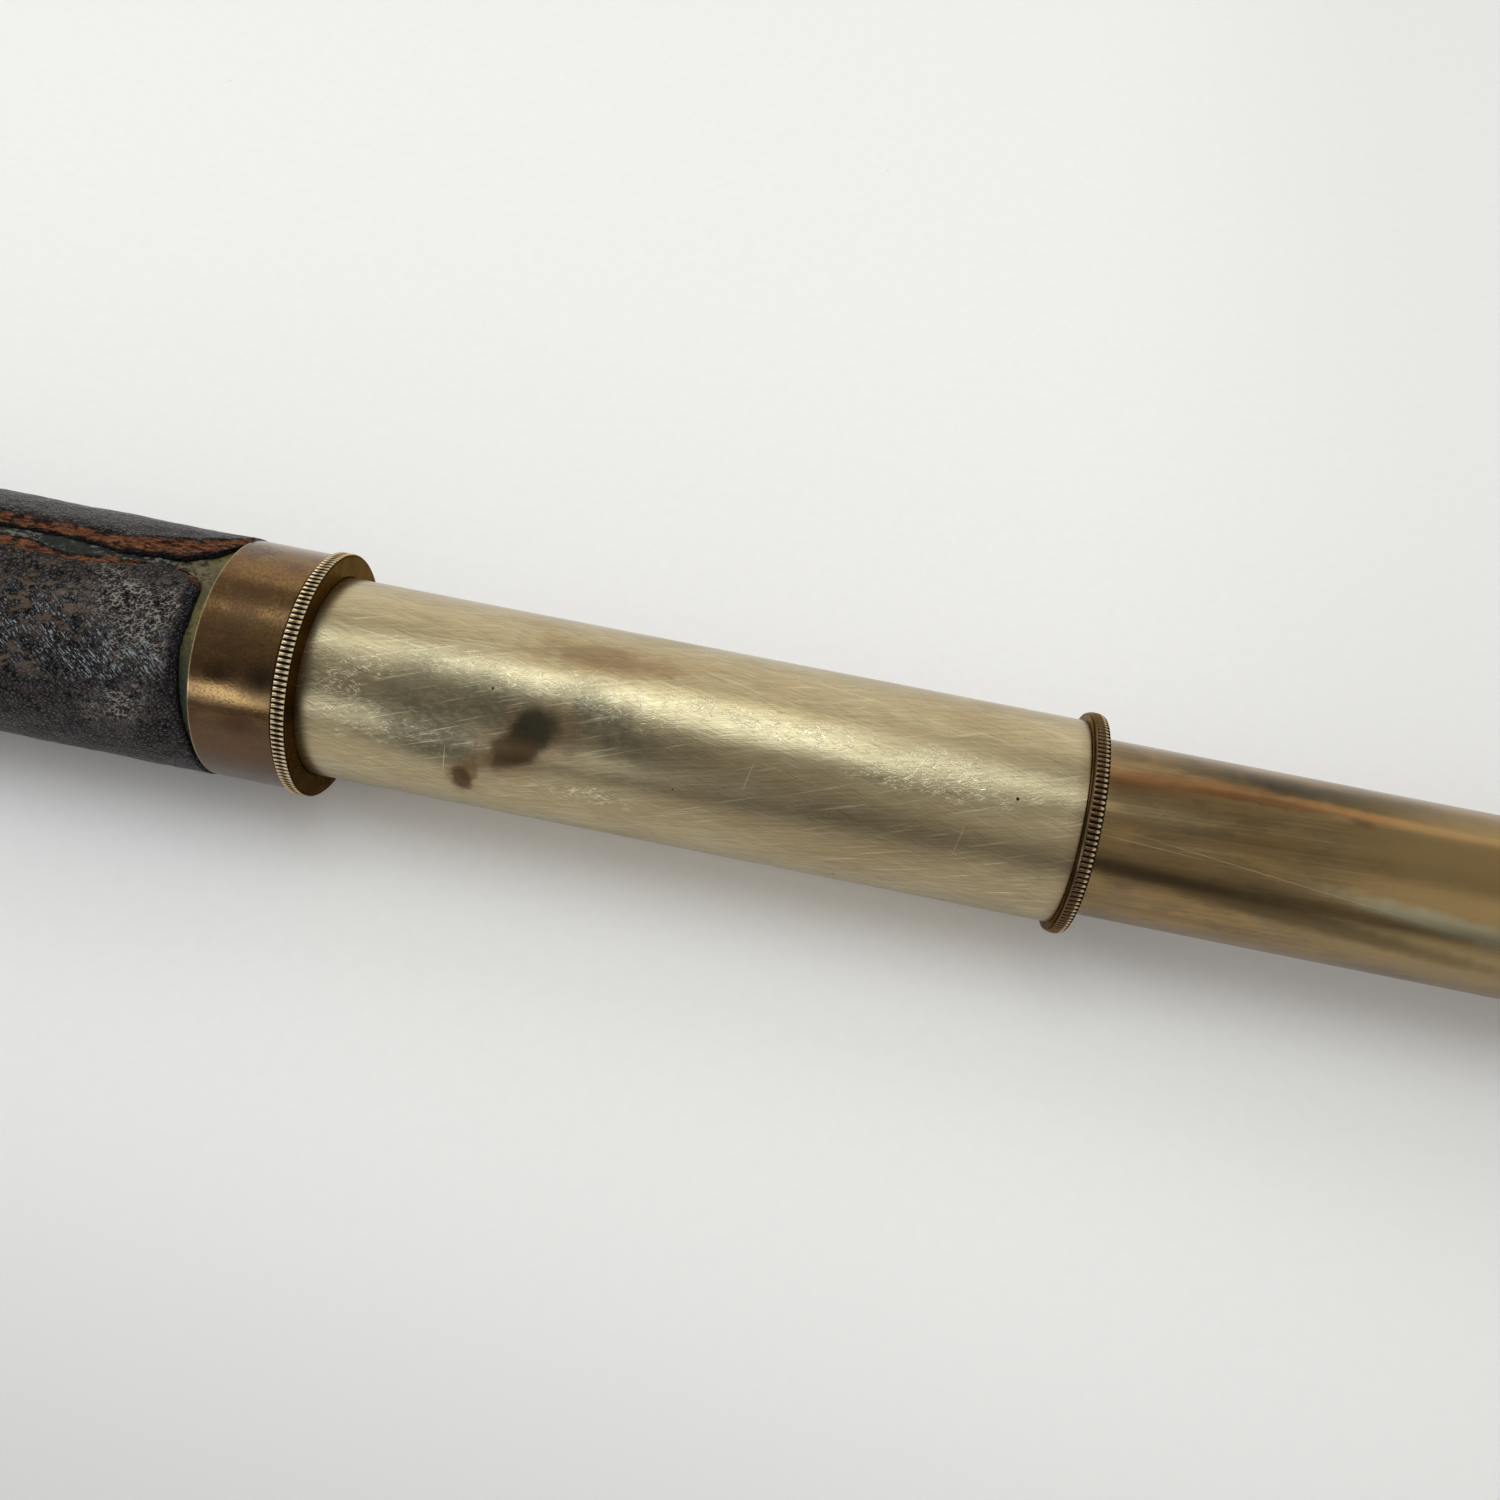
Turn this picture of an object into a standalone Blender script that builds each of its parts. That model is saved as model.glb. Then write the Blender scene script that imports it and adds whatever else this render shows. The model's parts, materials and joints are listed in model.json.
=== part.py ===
"""Three-draw brass pocket telescope, lying along X and fully drawn out.

The objective is at -X and the eyepiece at +X. The origin is on the surface that it lies on, under
the middle of its length. Every turned piece is a profile of (radius, height) points in the frame of
the assembly that carries it. There, height runs along the telescope's axis towards the eye.
"""

import math

import bmesh
import bpy
from mathutils import Matrix

# Turned pieces are prisms of this many sides. A radius is measured to the flats, and a flat faces down.
SIDES = 32
LENS_STEPS = 4

# Driving dimensions, in metres.
DRAW_RADII = (0.0165, 0.01431, 0.01212)
DRAW_WALL = 0.0006
DRAW_EXPOSED = 0.1217
BARREL_LENGTH = 0.175
BARREL_TUBE_RADIUS = 0.0188
BARREL_WALL = 0.0006
BARREL_RIM_RADIUS = 0.02043
BARREL_RIM_WIDTH = 0.00224
DRAW_RIM_OVERHANG = 0.00153
DRAW_RIM_WIDTH = 0.00257
FERRULE_RADIUS = 0.01967
FERRULE_LENGTH = 0.0135
LEATHER_RADIUS = 0.02005
BARE_BAND = 0.0013
EYE_CUP_LENGTH = 0.012

# Guides: each milled ring screws into its tube and holds a slit sleeve behind an inner lip.
GUIDE_LENGTH = 0.026
SPIGOT_LENGTH = 0.008
GUIDE_LIP = 0.001
SLEEVE_WALL = 0.0006
SLIT_COUNT = 6
SLIT_WIDTH = 0.0008
SLIT_DEPTH = 0.003
SLIT_FREE_BAND = 0.002
STOP_RING_WIDTH = 0.004
DRAW_DIAPHRAGM_STEP = 0.003
RIM_CHAMFER = 0.0003

# Clearances.
SLIDE_GAP = 0.00012
SCREWED_GAP = 0.0001
SLEEVED_GAP = 0.00015
FACE_GAP = 0.0003

# Objective end: heights are from the front face of the telescope.
CELL_RIM_WIDTH = 0.0036
CELL_LENGTH = 0.0155
CELL_WALL = 0.0011
CELL_CHAMFER = 0.0004
CELL_MOUTH_RADIUS = 0.0178
CELL_LIP_RADIUS = 0.0162
CELL_LIP_FRONT = 0.0022
CELL_SEAT = 0.0032
OBJECTIVE_FERRULE_END = 0.0243
CROWN_EDGE = 0.0016
FLINT_EDGE = 0.0032
OBJECTIVE_SAG = 0.0011
BARREL_DIAPHRAGM_HEIGHT = 0.0172
BARREL_DIAPHRAGM_HOLE = 0.0135
DIAPHRAGM_THICKNESS = 0.0008

# Lens tubes inside the last draw.
LENS_TUBE_RADIUS = 0.0107
LENS_TUBE_WALL = 0.0005
ERECTOR_TUBE_LENGTH = 0.062
ERECTOR_INSET = 0.001
ERECTOR_MOUNT_LENGTH = 0.008
ERECTOR_LENS_EDGE = 0.0018
ERECTOR_LENS_SAG = 0.0014
ERECTOR_STOP_HOLE = 0.0016
EYEPIECE_TUBE_LENGTH = 0.05
FIELD_LENS_EDGE = 0.0018
FIELD_LENS_SAG = 0.0015
FIELD_STOP_HEIGHT = 0.026
FIELD_STOP_HOLE = 0.006
EYE_CELL_LENGTH = 0.0064
EYE_CELL_BORE = 0.0056
EYE_CELL_LIP_RADIUS = 0.0046
EYE_CELL_LIP_WIDTH = 0.001
EYE_LENS_EDGE = 0.0016
EYE_LENS_SAG = 0.0012
RETAINING_RING_WIDTH = 0.002
RETAINING_RING_WALL = 0.0009

# Eye cup and its shutter.
CUP_FLOOR_FRONT = 0.0065
CUP_FLOOR_BACK = 0.0085
CUP_LIP_RADIUS = 0.0132
CUP_LIP_WIDTH = 0.0012
CUP_WAIST_RADIUS = 0.0124
CUP_WAIST_LENGTH = 0.003
CUP_RECESS_RADIUS = 0.0114
EYE_HOLE_RADIUS = 0.0026
PIVOT_OFFSET = 0.0055
SHUTTER_LOBE = 0.0036
SHUTTER_BOSS = 0.0019
SHUTTER_THICKNESS = 0.0006
SHUTTER_OPEN_TURN = math.radians(78)
PIVOT_SHANK = 0.0007
PIVOT_HEAD = 0.0014
PIVOT_HEAD_RISE = 0.0009
PIVOT_HEAD_SIDE = 0.0005
PIVOT_HEAD_FLAT = 0.7
KNOB_SHANK = 0.0005
KNOB_RADIUS = 0.0009
KNOB_RISE = 0.0012
KNOB_SIDE = 0.0009
KNOB_FLAT = 0.8
SMALL_SIDES = 12

TOTAL_LENGTH = (
    BARREL_LENGTH + 3 * DRAW_EXPOSED + 2 * DRAW_RIM_WIDTH + EYE_CUP_LENGTH
)
BARREL_BORE = BARREL_TUBE_RADIUS - BARREL_WALL

# Each look is a colour, a roughness and how metallic it is.
LOOKS = {
    "browned_brass": ((0.27, 0.15, 0.062), 0.33, 1.0),
    "bright_brass": ((0.62, 0.53, 0.32), 0.3, 1.0),
    "aged_brass": ((0.36, 0.25, 0.11), 0.3, 1.0),
    "blackened_brass": ((0.02, 0.018, 0.016), 0.6, 0.4),
    "leather": ((0.045, 0.032, 0.03), 0.55, 0.0),
    "optical_glass": ((0.82, 0.88, 0.85), 0.04, 0.0),
}


def clear_scene():
    for obj in list(bpy.data.objects):
        bpy.data.objects.remove(obj)


def make_looks():
    for name, (colour, roughness, metallic) in LOOKS.items():
        look = bpy.data.materials.new(name)
        look.use_nodes = True
        shader = look.node_tree.nodes["Principled BSDF"]
        shader.inputs["Base Color"].default_value = (*colour, 1)
        shader.inputs["Roughness"].default_value = roughness
        shader.inputs["Metallic"].default_value = metallic
        if name == "optical_glass":
            shader.inputs["Transmission Weight"].default_value = 1
            shader.inputs["IOR"].default_value = 1.52


def make_collection(name, hidden=False):
    collection = bpy.data.collections.new(name)
    collection.hide_render = hidden
    bpy.context.scene.collection.children.link(collection)
    return collection


def axis_frame(name, x):
    """An empty on the telescope's axis whose Z runs towards the eye."""
    empty = bpy.data.objects.new(name, None)
    empty.location = (x, 0, BARREL_RIM_RADIUS)
    empty.rotation_euler = (0, math.pi / 2, 0)
    TELESCOPE.objects.link(empty)
    return empty


def add_piece(name, mesh, parent, look):
    piece = bpy.data.objects.new(name, mesh)
    piece.parent = parent
    piece.data.materials.append(bpy.data.materials[look])
    TELESCOPE.objects.link(piece)
    return piece


def signed_area(points):
    following = points[1:] + points[:1]
    return sum(a[0] * b[1] - b[0] * a[1] for a, b in zip(points, following)) / 2


def bake(piece):
    """Turns the piece's modifiers into its mesh and shades it smooth between its sharp edges."""
    evaluated = piece.evaluated_get(bpy.context.evaluated_depsgraph_get())
    mesh = bpy.data.meshes.new_from_object(evaluated)
    piece.modifiers.clear()
    piece.data = mesh
    mesh.name = piece.name
    mesh.shade_smooth()
    mesh.set_sharp_from_angle(angle=math.radians(30))


def turned(name, profile, parent, look, sides=SIDES, cutter=None):
    """Turns a profile about the frame's axis. One that starts and ends on the axis stays open there."""
    solid = profile[0][0] == 0 and profile[-1][0] == 0
    if signed_area(profile) > 0:
        profile = profile[::-1]
    corner = 1 / math.cos(math.pi / sides)
    mesh = bpy.data.meshes.new(name)
    points = [(radius * corner, 0, height) for radius, height in profile]
    count = len(points)
    edges = [(i, (i + 1) % count) for i in range(count - 1 if solid else count)]
    mesh.from_pydata(points, edges, [])
    piece = add_piece(name, mesh, parent, look)
    piece.rotation_euler.z = math.pi / sides
    screw = piece.modifiers.new("Turn", "SCREW")
    screw.steps = sides
    screw.render_steps = sides
    screw.use_merge_vertices = True
    screw.merge_threshold = 0.00001
    if cutter:
        cut = piece.modifiers.new("Cut", "BOOLEAN")
        cut.object = cutter
    bpy.context.view_layer.update()
    bake(piece)
    return piece


def tube_profile(outer, inner, front, back):
    return [(outer, back), (outer, front), (inner, front), (inner, back)]


def tube(name, outer, inner, front, back, parent, look):
    return turned(name, tube_profile(outer, inner, front, back), parent, look)


def cap_points(radius, sag, height):
    """Points from the edge to the axis of a spherical cap that rises by sag at its middle."""
    if sag == 0:
        return [(radius, height), (0, height)]
    ball = (radius**2 + sag**2) / (2 * abs(sag))
    points = []
    for step in range(LENS_STEPS + 1):
        r = radius * (1 - step / LENS_STEPS)
        rise = math.sqrt(ball**2 - r**2) - (ball - abs(sag))
        points.append((r, height + math.copysign(rise, sag)))
    return points


def lens(name, radius, front, edge, front_sag, back_sag, parent):
    """A lens whose rim runs from front to front + edge. A positive sag bulges out of the glass."""
    back_cap = cap_points(radius, back_sag, front + edge)
    front_cap = cap_points(radius, -front_sag, front)
    return turned(name, back_cap[::-1] + front_cap, parent, "optical_glass")


def add_cutter(name, build, parent):
    """A hidden cutting body in an assembly's frame."""
    shape = bmesh.new()
    build(shape)
    mesh = bpy.data.meshes.new(name)
    shape.to_mesh(mesh)
    shape.free()
    cutter = bpy.data.objects.new(name, mesh)
    cutter.parent = parent
    cutter.hide_render = True
    cutter.display_type = "WIRE"
    CUTTERS.objects.link(cutter)
    return cutter


def guide_sleeve(name, bore, parent):
    """A sprung sleeve that a draw slides in, slit from its front end into fingers."""
    slit_start = -SPIGOT_LENGTH - SLIT_FREE_BAND

    def slits(shape):
        size = (SLIT_DEPTH, SLIT_WIDTH, GUIDE_LENGTH + slit_start + SLIT_DEPTH)
        middle = slit_start - size[2] / 2
        for turn in range(SLIT_COUNT):
            rotation = Matrix.Rotation(math.tau * (turn + 0.5) / SLIT_COUNT, 4, "Z")
            place = Matrix.Translation((bore + SLEEVE_WALL / 2, 0, middle))
            scale = Matrix.Diagonal((*size, 1))
            bmesh.ops.create_cube(shape, size=1, matrix=rotation @ place @ scale)

    cutter = add_cutter(name + "_slits", slits, parent)
    back = -GUIDE_LIP - FACE_GAP
    profile = tube_profile(bore + SLEEVE_WALL, bore, -GUIDE_LENGTH, back)
    return turned(name, profile, parent, "browned_brass", cutter=cutter)


def guide_ring(name, bore, rim, width, socket, parent):
    """The milled ring at a tube's eye end. Its spigot screws into the tube and holds the guide sleeve."""
    spigot = socket - SCREWED_GAP
    counterbore = bore + SLEEVE_WALL + SCREWED_GAP
    profile = [
        (bore, width),
        (rim - RIM_CHAMFER, width),
        (rim, width - RIM_CHAMFER),
        (rim, RIM_CHAMFER),
        (rim - RIM_CHAMFER, 0),
        (spigot, 0),
        (spigot, -SPIGOT_LENGTH),
        (counterbore, -SPIGOT_LENGTH),
        (counterbore, -GUIDE_LIP),
        (bore, -GUIDE_LIP),
    ]
    return turned(name, profile, parent, "browned_brass")


def diaphragm(name, outer, hole, front, parent):
    back = front + DIAPHRAGM_THICKNESS
    return tube(name, outer, hole, front, back, parent, "blackened_brass")


def build_barrel(body, objective):
    eye_end = -SCREWED_GAP
    front = CELL_RIM_WIDTH + FACE_GAP - (BARREL_LENGTH - BARREL_RIM_WIDTH)
    tube(
        "barrel_tube",
        BARREL_TUBE_RADIUS,
        BARREL_BORE,
        front,
        eye_end,
        body,
        "aged_brass",
    )
    skin = BARREL_TUBE_RADIUS + SLEEVED_GAP
    leather_front = (
        OBJECTIVE_FERRULE_END + FACE_GAP - (BARREL_LENGTH - BARREL_RIM_WIDTH)
    )
    leather_back = -FERRULE_LENGTH - BARE_BAND
    tube(
        "leather_cover",
        LEATHER_RADIUS,
        skin,
        leather_front,
        leather_back,
        body,
        "leather",
    )
    tube(
        "barrel_ferrule",
        FERRULE_RADIUS,
        skin,
        -FERRULE_LENGTH,
        eye_end,
        body,
        "browned_brass",
    )
    bore = DRAW_RADII[0] + SLIDE_GAP
    guide_ring(
        "barrel_guide_ring",
        bore,
        BARREL_RIM_RADIUS,
        BARREL_RIM_WIDTH,
        BARREL_BORE,
        body,
    )
    guide_sleeve("barrel_guide_sleeve", bore, body)
    tube(
        "objective_ferrule",
        FERRULE_RADIUS,
        skin,
        CELL_RIM_WIDTH + SCREWED_GAP,
        OBJECTIVE_FERRULE_END,
        objective,
        "browned_brass",
    )
    diaphragm(
        "barrel_diaphragm",
        BARREL_BORE - SCREWED_GAP,
        BARREL_DIAPHRAGM_HOLE,
        BARREL_DIAPHRAGM_HEIGHT,
        objective,
    )


def build_objective(objective):
    """The screwed cell with its pair of lenses, a crown in front of a flint."""
    spigot = BARREL_BORE - SCREWED_GAP
    seat = spigot - CELL_WALL
    profile = [
        (seat, CELL_LENGTH),
        (spigot, CELL_LENGTH),
        (spigot, CELL_RIM_WIDTH),
        (BARREL_RIM_RADIUS - CELL_CHAMFER, CELL_RIM_WIDTH),
        (BARREL_RIM_RADIUS, CELL_RIM_WIDTH - CELL_CHAMFER),
        (BARREL_RIM_RADIUS, CELL_CHAMFER),
        (BARREL_RIM_RADIUS - CELL_CHAMFER, 0),
        (CELL_MOUTH_RADIUS, 0),
        (CELL_LIP_RADIUS, CELL_LIP_FRONT),
        (CELL_LIP_RADIUS, CELL_SEAT),
        (seat, CELL_SEAT),
    ]
    turned("objective_cell", profile, objective, "browned_brass")
    radius = seat - SCREWED_GAP
    crown_front = CELL_SEAT + FACE_GAP
    flint_front = crown_front + CROWN_EDGE + SCREWED_GAP
    flint_back = flint_front + FLINT_EDGE
    lens(
        "objective_crown_lens",
        radius,
        crown_front,
        CROWN_EDGE,
        OBJECTIVE_SAG,
        OBJECTIVE_SAG,
        objective,
    )
    lens(
        "objective_flint_lens",
        radius,
        flint_front,
        FLINT_EDGE,
        -OBJECTIVE_SAG,
        0,
        objective,
    )
    ring_front = flint_back + SCREWED_GAP
    tube(
        "objective_retaining_ring",
        radius,
        radius - RETAINING_RING_WALL,
        ring_front,
        ring_front + RETAINING_RING_WIDTH,
        objective,
        "blackened_brass",
    )


def draw_front(rim_width):
    """Height of a draw's front end, which its stop ring keeps behind the guide that it slides in."""
    return -(DRAW_EXPOSED + rim_width + GUIDE_LENGTH + FACE_GAP + STOP_RING_WIDTH)


def build_draw(number, body, radius, carrier_bore, carrier_rim_width, look):
    """A draw tube with the stop ring that keeps it in its carrier. Returns its front end's height."""
    front = draw_front(carrier_rim_width)
    tube(
        f"draw_{number}_tube", radius, radius - DRAW_WALL, front, 0, body, look
    )
    stop_outer = carrier_bore - 2 * SLIDE_GAP
    tube(
        f"draw_{number}_stop_ring",
        stop_outer,
        radius + SCREWED_GAP,
        front,
        front + STOP_RING_WIDTH,
        body,
        "browned_brass",
    )
    return front


def build_draw_guide(number, body, next_radius):
    radius = DRAW_RADII[number - 1]
    bore = next_radius + SLIDE_GAP
    guide_ring(
        f"draw_{number}_guide_ring",
        bore,
        radius + DRAW_RIM_OVERHANG,
        DRAW_RIM_WIDTH,
        radius - DRAW_WALL,
        body,
    )
    guide_sleeve(f"draw_{number}_guide_sleeve", bore, body)


def lens_tube(name, front, length, body):
    inner = LENS_TUBE_RADIUS - LENS_TUBE_WALL
    tube(
        name,
        LENS_TUBE_RADIUS,
        inner,
        front,
        front + length,
        body,
        "blackened_brass",
    )
    return inner - SCREWED_GAP


def retaining_ring(name, radius, front, body):
    tube(
        name,
        radius,
        radius - RETAINING_RING_WALL,
        front,
        front + RETAINING_RING_WIDTH,
        body,
        "browned_brass",
    )


def build_erector(body, front):
    """The pair of lenses that turns the image upright, in a tube at the last draw's front end."""
    start = front + ERECTOR_INSET
    end = start + ERECTOR_TUBE_LENGTH
    tube(
        "erector_mount",
        DRAW_RADII[2] - DRAW_WALL - SCREWED_GAP,
        LENS_TUBE_RADIUS + SCREWED_GAP,
        start,
        start + ERECTOR_MOUNT_LENGTH,
        body,
        "browned_brass",
    )
    radius = lens_tube("erector_tube", start, ERECTOR_TUBE_LENGTH, body)
    edge = ERECTOR_LENS_EDGE
    sag = ERECTOR_LENS_SAG
    front_ring = start + SCREWED_GAP
    front_lens = front_ring + RETAINING_RING_WIDTH + sag
    rear_ring = end - SCREWED_GAP - RETAINING_RING_WIDTH
    rear_lens = rear_ring - SCREWED_GAP - sag - edge
    retaining_ring("erector_front_ring", radius, front_ring, body)
    lens("erector_front_lens", radius, front_lens, edge, sag, 0, body)
    diaphragm("erector_stop", radius, ERECTOR_STOP_HOLE, (start + end) / 2, body)
    lens("erector_rear_lens", radius, rear_lens, edge, 0, sag, body)
    retaining_ring("erector_rear_ring", radius, rear_ring, body)


def build_eyepiece(body):
    """The field lens, field stop and eye lens, in a tube that hangs from the eye cup."""
    end = CUP_FLOOR_FRONT - FACE_GAP
    start = end - EYEPIECE_TUBE_LENGTH
    radius = lens_tube("eyepiece_tube", start, EYEPIECE_TUBE_LENGTH, body)
    field_ring = start + SCREWED_GAP
    field_front = field_ring + RETAINING_RING_WIDTH + FIELD_LENS_SAG + SCREWED_GAP
    retaining_ring("field_lens_ring", radius, field_ring, body)
    lens("field_lens", radius, field_front, FIELD_LENS_EDGE, FIELD_LENS_SAG, 0, body)
    diaphragm("field_stop", radius, FIELD_STOP_HOLE, start + FIELD_STOP_HEIGHT, body)

    cell_back = end - SCREWED_GAP
    cell_front = cell_back - EYE_CELL_LENGTH
    lip_front = cell_back - EYE_CELL_LIP_WIDTH
    cell_profile = [
        (radius, cell_back),
        (radius, cell_front),
        (EYE_CELL_BORE, cell_front),
        (EYE_CELL_BORE, lip_front),
        (EYE_CELL_LIP_RADIUS, lip_front),
        (EYE_CELL_LIP_RADIUS, cell_back),
    ]
    turned("eye_lens_cell", cell_profile, body, "blackened_brass")
    eye_radius = EYE_CELL_BORE - SCREWED_GAP
    eye_front = lip_front - SCREWED_GAP - EYE_LENS_EDGE
    lens("eye_lens", eye_radius, eye_front, EYE_LENS_EDGE, EYE_LENS_SAG, 0, body)


def build_eye_cup(body):
    spigot = DRAW_RADII[2] - DRAW_WALL - SCREWED_GAP
    rim = DRAW_RADII[2] + DRAW_RIM_OVERHANG
    profile = [
        (CUP_RECESS_RADIUS, EYE_CUP_LENGTH),
        (CUP_LIP_RADIUS, EYE_CUP_LENGTH),
        (CUP_LIP_RADIUS, EYE_CUP_LENGTH - CUP_LIP_WIDTH),
        (CUP_WAIST_RADIUS, DRAW_RIM_WIDTH + CUP_WAIST_LENGTH),
        (CUP_WAIST_RADIUS, DRAW_RIM_WIDTH),
        (rim - RIM_CHAMFER, DRAW_RIM_WIDTH),
        (rim, DRAW_RIM_WIDTH - RIM_CHAMFER),
        (rim, RIM_CHAMFER),
        (rim - RIM_CHAMFER, 0),
        (spigot, 0),
        (spigot, -SPIGOT_LENGTH),
        (LENS_TUBE_RADIUS + SCREWED_GAP, -SPIGOT_LENGTH),
        (LENS_TUBE_RADIUS + SCREWED_GAP, CUP_FLOOR_FRONT),
        (EYE_HOLE_RADIUS, CUP_FLOOR_FRONT),
        (EYE_HOLE_RADIUS, CUP_FLOOR_BACK),
        (CUP_RECESS_RADIUS, CUP_FLOOR_BACK),
    ]

    def pivot_hole(shape):
        place = Matrix.Translation((-PIVOT_OFFSET, 0, CUP_FLOOR_BACK))
        bmesh.ops.create_cone(
            shape,
            cap_ends=True,
            segments=SMALL_SIDES,
            radius1=PIVOT_SHANK + SCREWED_GAP,
            radius2=PIVOT_SHANK + SCREWED_GAP,
            depth=EYE_CUP_LENGTH,
            matrix=place,
        )

    hole = add_cutter("eye_cup_pivot_hole", pivot_hole, body)
    turned("eyepiece_cup", profile, body, "browned_brass", cutter=hole)


def circle_points(centre, radius, count, start=0.0, sweep=math.tau):
    closed = math.isclose(sweep, math.tau)
    steps = count if closed else count - 1
    angles = [start + sweep * i / steps for i in range(count)]
    return [
        (centre + radius * math.cos(a), radius * math.sin(a)) for a in angles
    ]


def add_outline(curve, points):
    spline = curve.splines.new("POLY")
    spline.points.add(len(points) - 1)
    for point, (x, y) in zip(spline.points, points):
        point.co = (x, y, 0, 1)
    spline.use_cyclic_u = True


def build_shutter(body):
    """The dust shutter: a lobed plate on a pivot screw, swung aside from the eye hole."""
    pivot = bpy.data.objects.new("shutter_pivot", None)
    pivot.parent = body
    pivot.location = (-PIVOT_OFFSET, 0, CUP_FLOOR_BACK)
    pivot.rotation_euler.z = SHUTTER_OPEN_TURN
    TELESCOPE.objects.link(pivot)
    plate_front = SCREWED_GAP
    plate_back = plate_front + SHUTTER_THICKNESS

    outline = bpy.data.curves.new("eye_shutter", "CURVE")
    outline.dimensions = "2D"
    outline.fill_mode = "BOTH"
    outline.extrude = SHUTTER_THICKNESS / 2
    lean = math.acos((SHUTTER_BOSS - SHUTTER_LOBE) / PIVOT_OFFSET)
    boss_arc = circle_points(0, SHUTTER_BOSS, 9, lean, math.tau - 2 * lean)
    lobe_arc = circle_points(PIVOT_OFFSET, SHUTTER_LOBE, 17, -lean, 2 * lean)
    knob_place = PIVOT_OFFSET + SHUTTER_LOBE - 2 * KNOB_RADIUS
    knob_hole = circle_points(knob_place, KNOB_SHANK + SCREWED_GAP, SMALL_SIDES)
    add_outline(outline, boss_arc + lobe_arc)
    add_outline(outline, circle_points(0, PIVOT_SHANK + SCREWED_GAP, SMALL_SIDES))
    add_outline(outline, knob_hole)
    plate = add_piece("eye_shutter", outline, pivot, "browned_brass")
    plate.location.z = (plate_front + plate_back) / 2

    knob_profile = [
        (0, plate_back + KNOB_RISE),
        (KNOB_RADIUS * KNOB_FLAT, plate_back + KNOB_RISE),
        (KNOB_RADIUS, plate_back + KNOB_SIDE),
        (KNOB_RADIUS, plate_back + SCREWED_GAP),
        (KNOB_SHANK, plate_back + SCREWED_GAP),
        (KNOB_SHANK, plate_front + SCREWED_GAP),
        (0, plate_front + SCREWED_GAP),
    ]
    knob = turned("shutter_knob", knob_profile, pivot, "browned_brass", SMALL_SIDES)
    knob.location.x = knob_place

    shank_end = CUP_FLOOR_FRONT - CUP_FLOOR_BACK + SCREWED_GAP
    screw_profile = [
        (0, plate_back + PIVOT_HEAD_RISE),
        (PIVOT_HEAD * PIVOT_HEAD_FLAT, plate_back + PIVOT_HEAD_RISE),
        (PIVOT_HEAD, plate_back + PIVOT_HEAD_SIDE),
        (PIVOT_HEAD, plate_back + SCREWED_GAP),
        (PIVOT_SHANK, plate_back + SCREWED_GAP),
        (PIVOT_SHANK, shank_end),
        (0, shank_end),
    ]
    turned("shutter_pivot_screw", screw_profile, pivot, "browned_brass", SMALL_SIDES)


def build_telescope():
    barrel_end = BARREL_LENGTH - BARREL_RIM_WIDTH - TOTAL_LENGTH / 2
    barrel = axis_frame("barrel", barrel_end)
    objective = axis_frame("objective_end", -TOTAL_LENGTH / 2)
    build_barrel(barrel, objective)
    build_objective(objective)

    carrier_bore = BARREL_BORE
    rim_width = BARREL_RIM_WIDTH
    tube_end = barrel_end
    looks = ("bright_brass", "aged_brass", "aged_brass")
    for number, (radius, look) in enumerate(zip(DRAW_RADII, looks), start=1):
        tube_end += rim_width + DRAW_EXPOSED
        body = axis_frame(f"draw_{number}", tube_end)
        front = build_draw(number, body, radius, carrier_bore, rim_width, look)
        carrier_bore = radius - DRAW_WALL
        rim_width = DRAW_RIM_WIDTH
        if number < len(DRAW_RADII):
            build_draw_guide(number, body, DRAW_RADII[number])
            hole = DRAW_RADII[number] - DRAW_DIAPHRAGM_STEP
            plate = carrier_bore - SCREWED_GAP
            name = f"draw_{number}_diaphragm"
            diaphragm(name, plate, hole, front + FACE_GAP, body)
    build_erector(body, front)
    build_eyepiece(body)
    build_eye_cup(body)
    build_shutter(body)


clear_scene()
TELESCOPE = make_collection("brass_telescope")
CUTTERS = make_collection("cutters", hidden=True)
make_looks()
build_telescope()
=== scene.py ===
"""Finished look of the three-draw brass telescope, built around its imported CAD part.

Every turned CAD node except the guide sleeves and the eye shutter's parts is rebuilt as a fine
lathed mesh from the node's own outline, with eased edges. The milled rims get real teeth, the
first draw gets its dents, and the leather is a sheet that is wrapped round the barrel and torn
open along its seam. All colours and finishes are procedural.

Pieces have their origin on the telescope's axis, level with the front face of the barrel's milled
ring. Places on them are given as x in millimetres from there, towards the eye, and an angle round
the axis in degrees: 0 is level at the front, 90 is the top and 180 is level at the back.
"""

import json
import math

import bmesh
import bpy
import numpy as np
from mathutils import Matrix, Vector, noise

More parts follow.
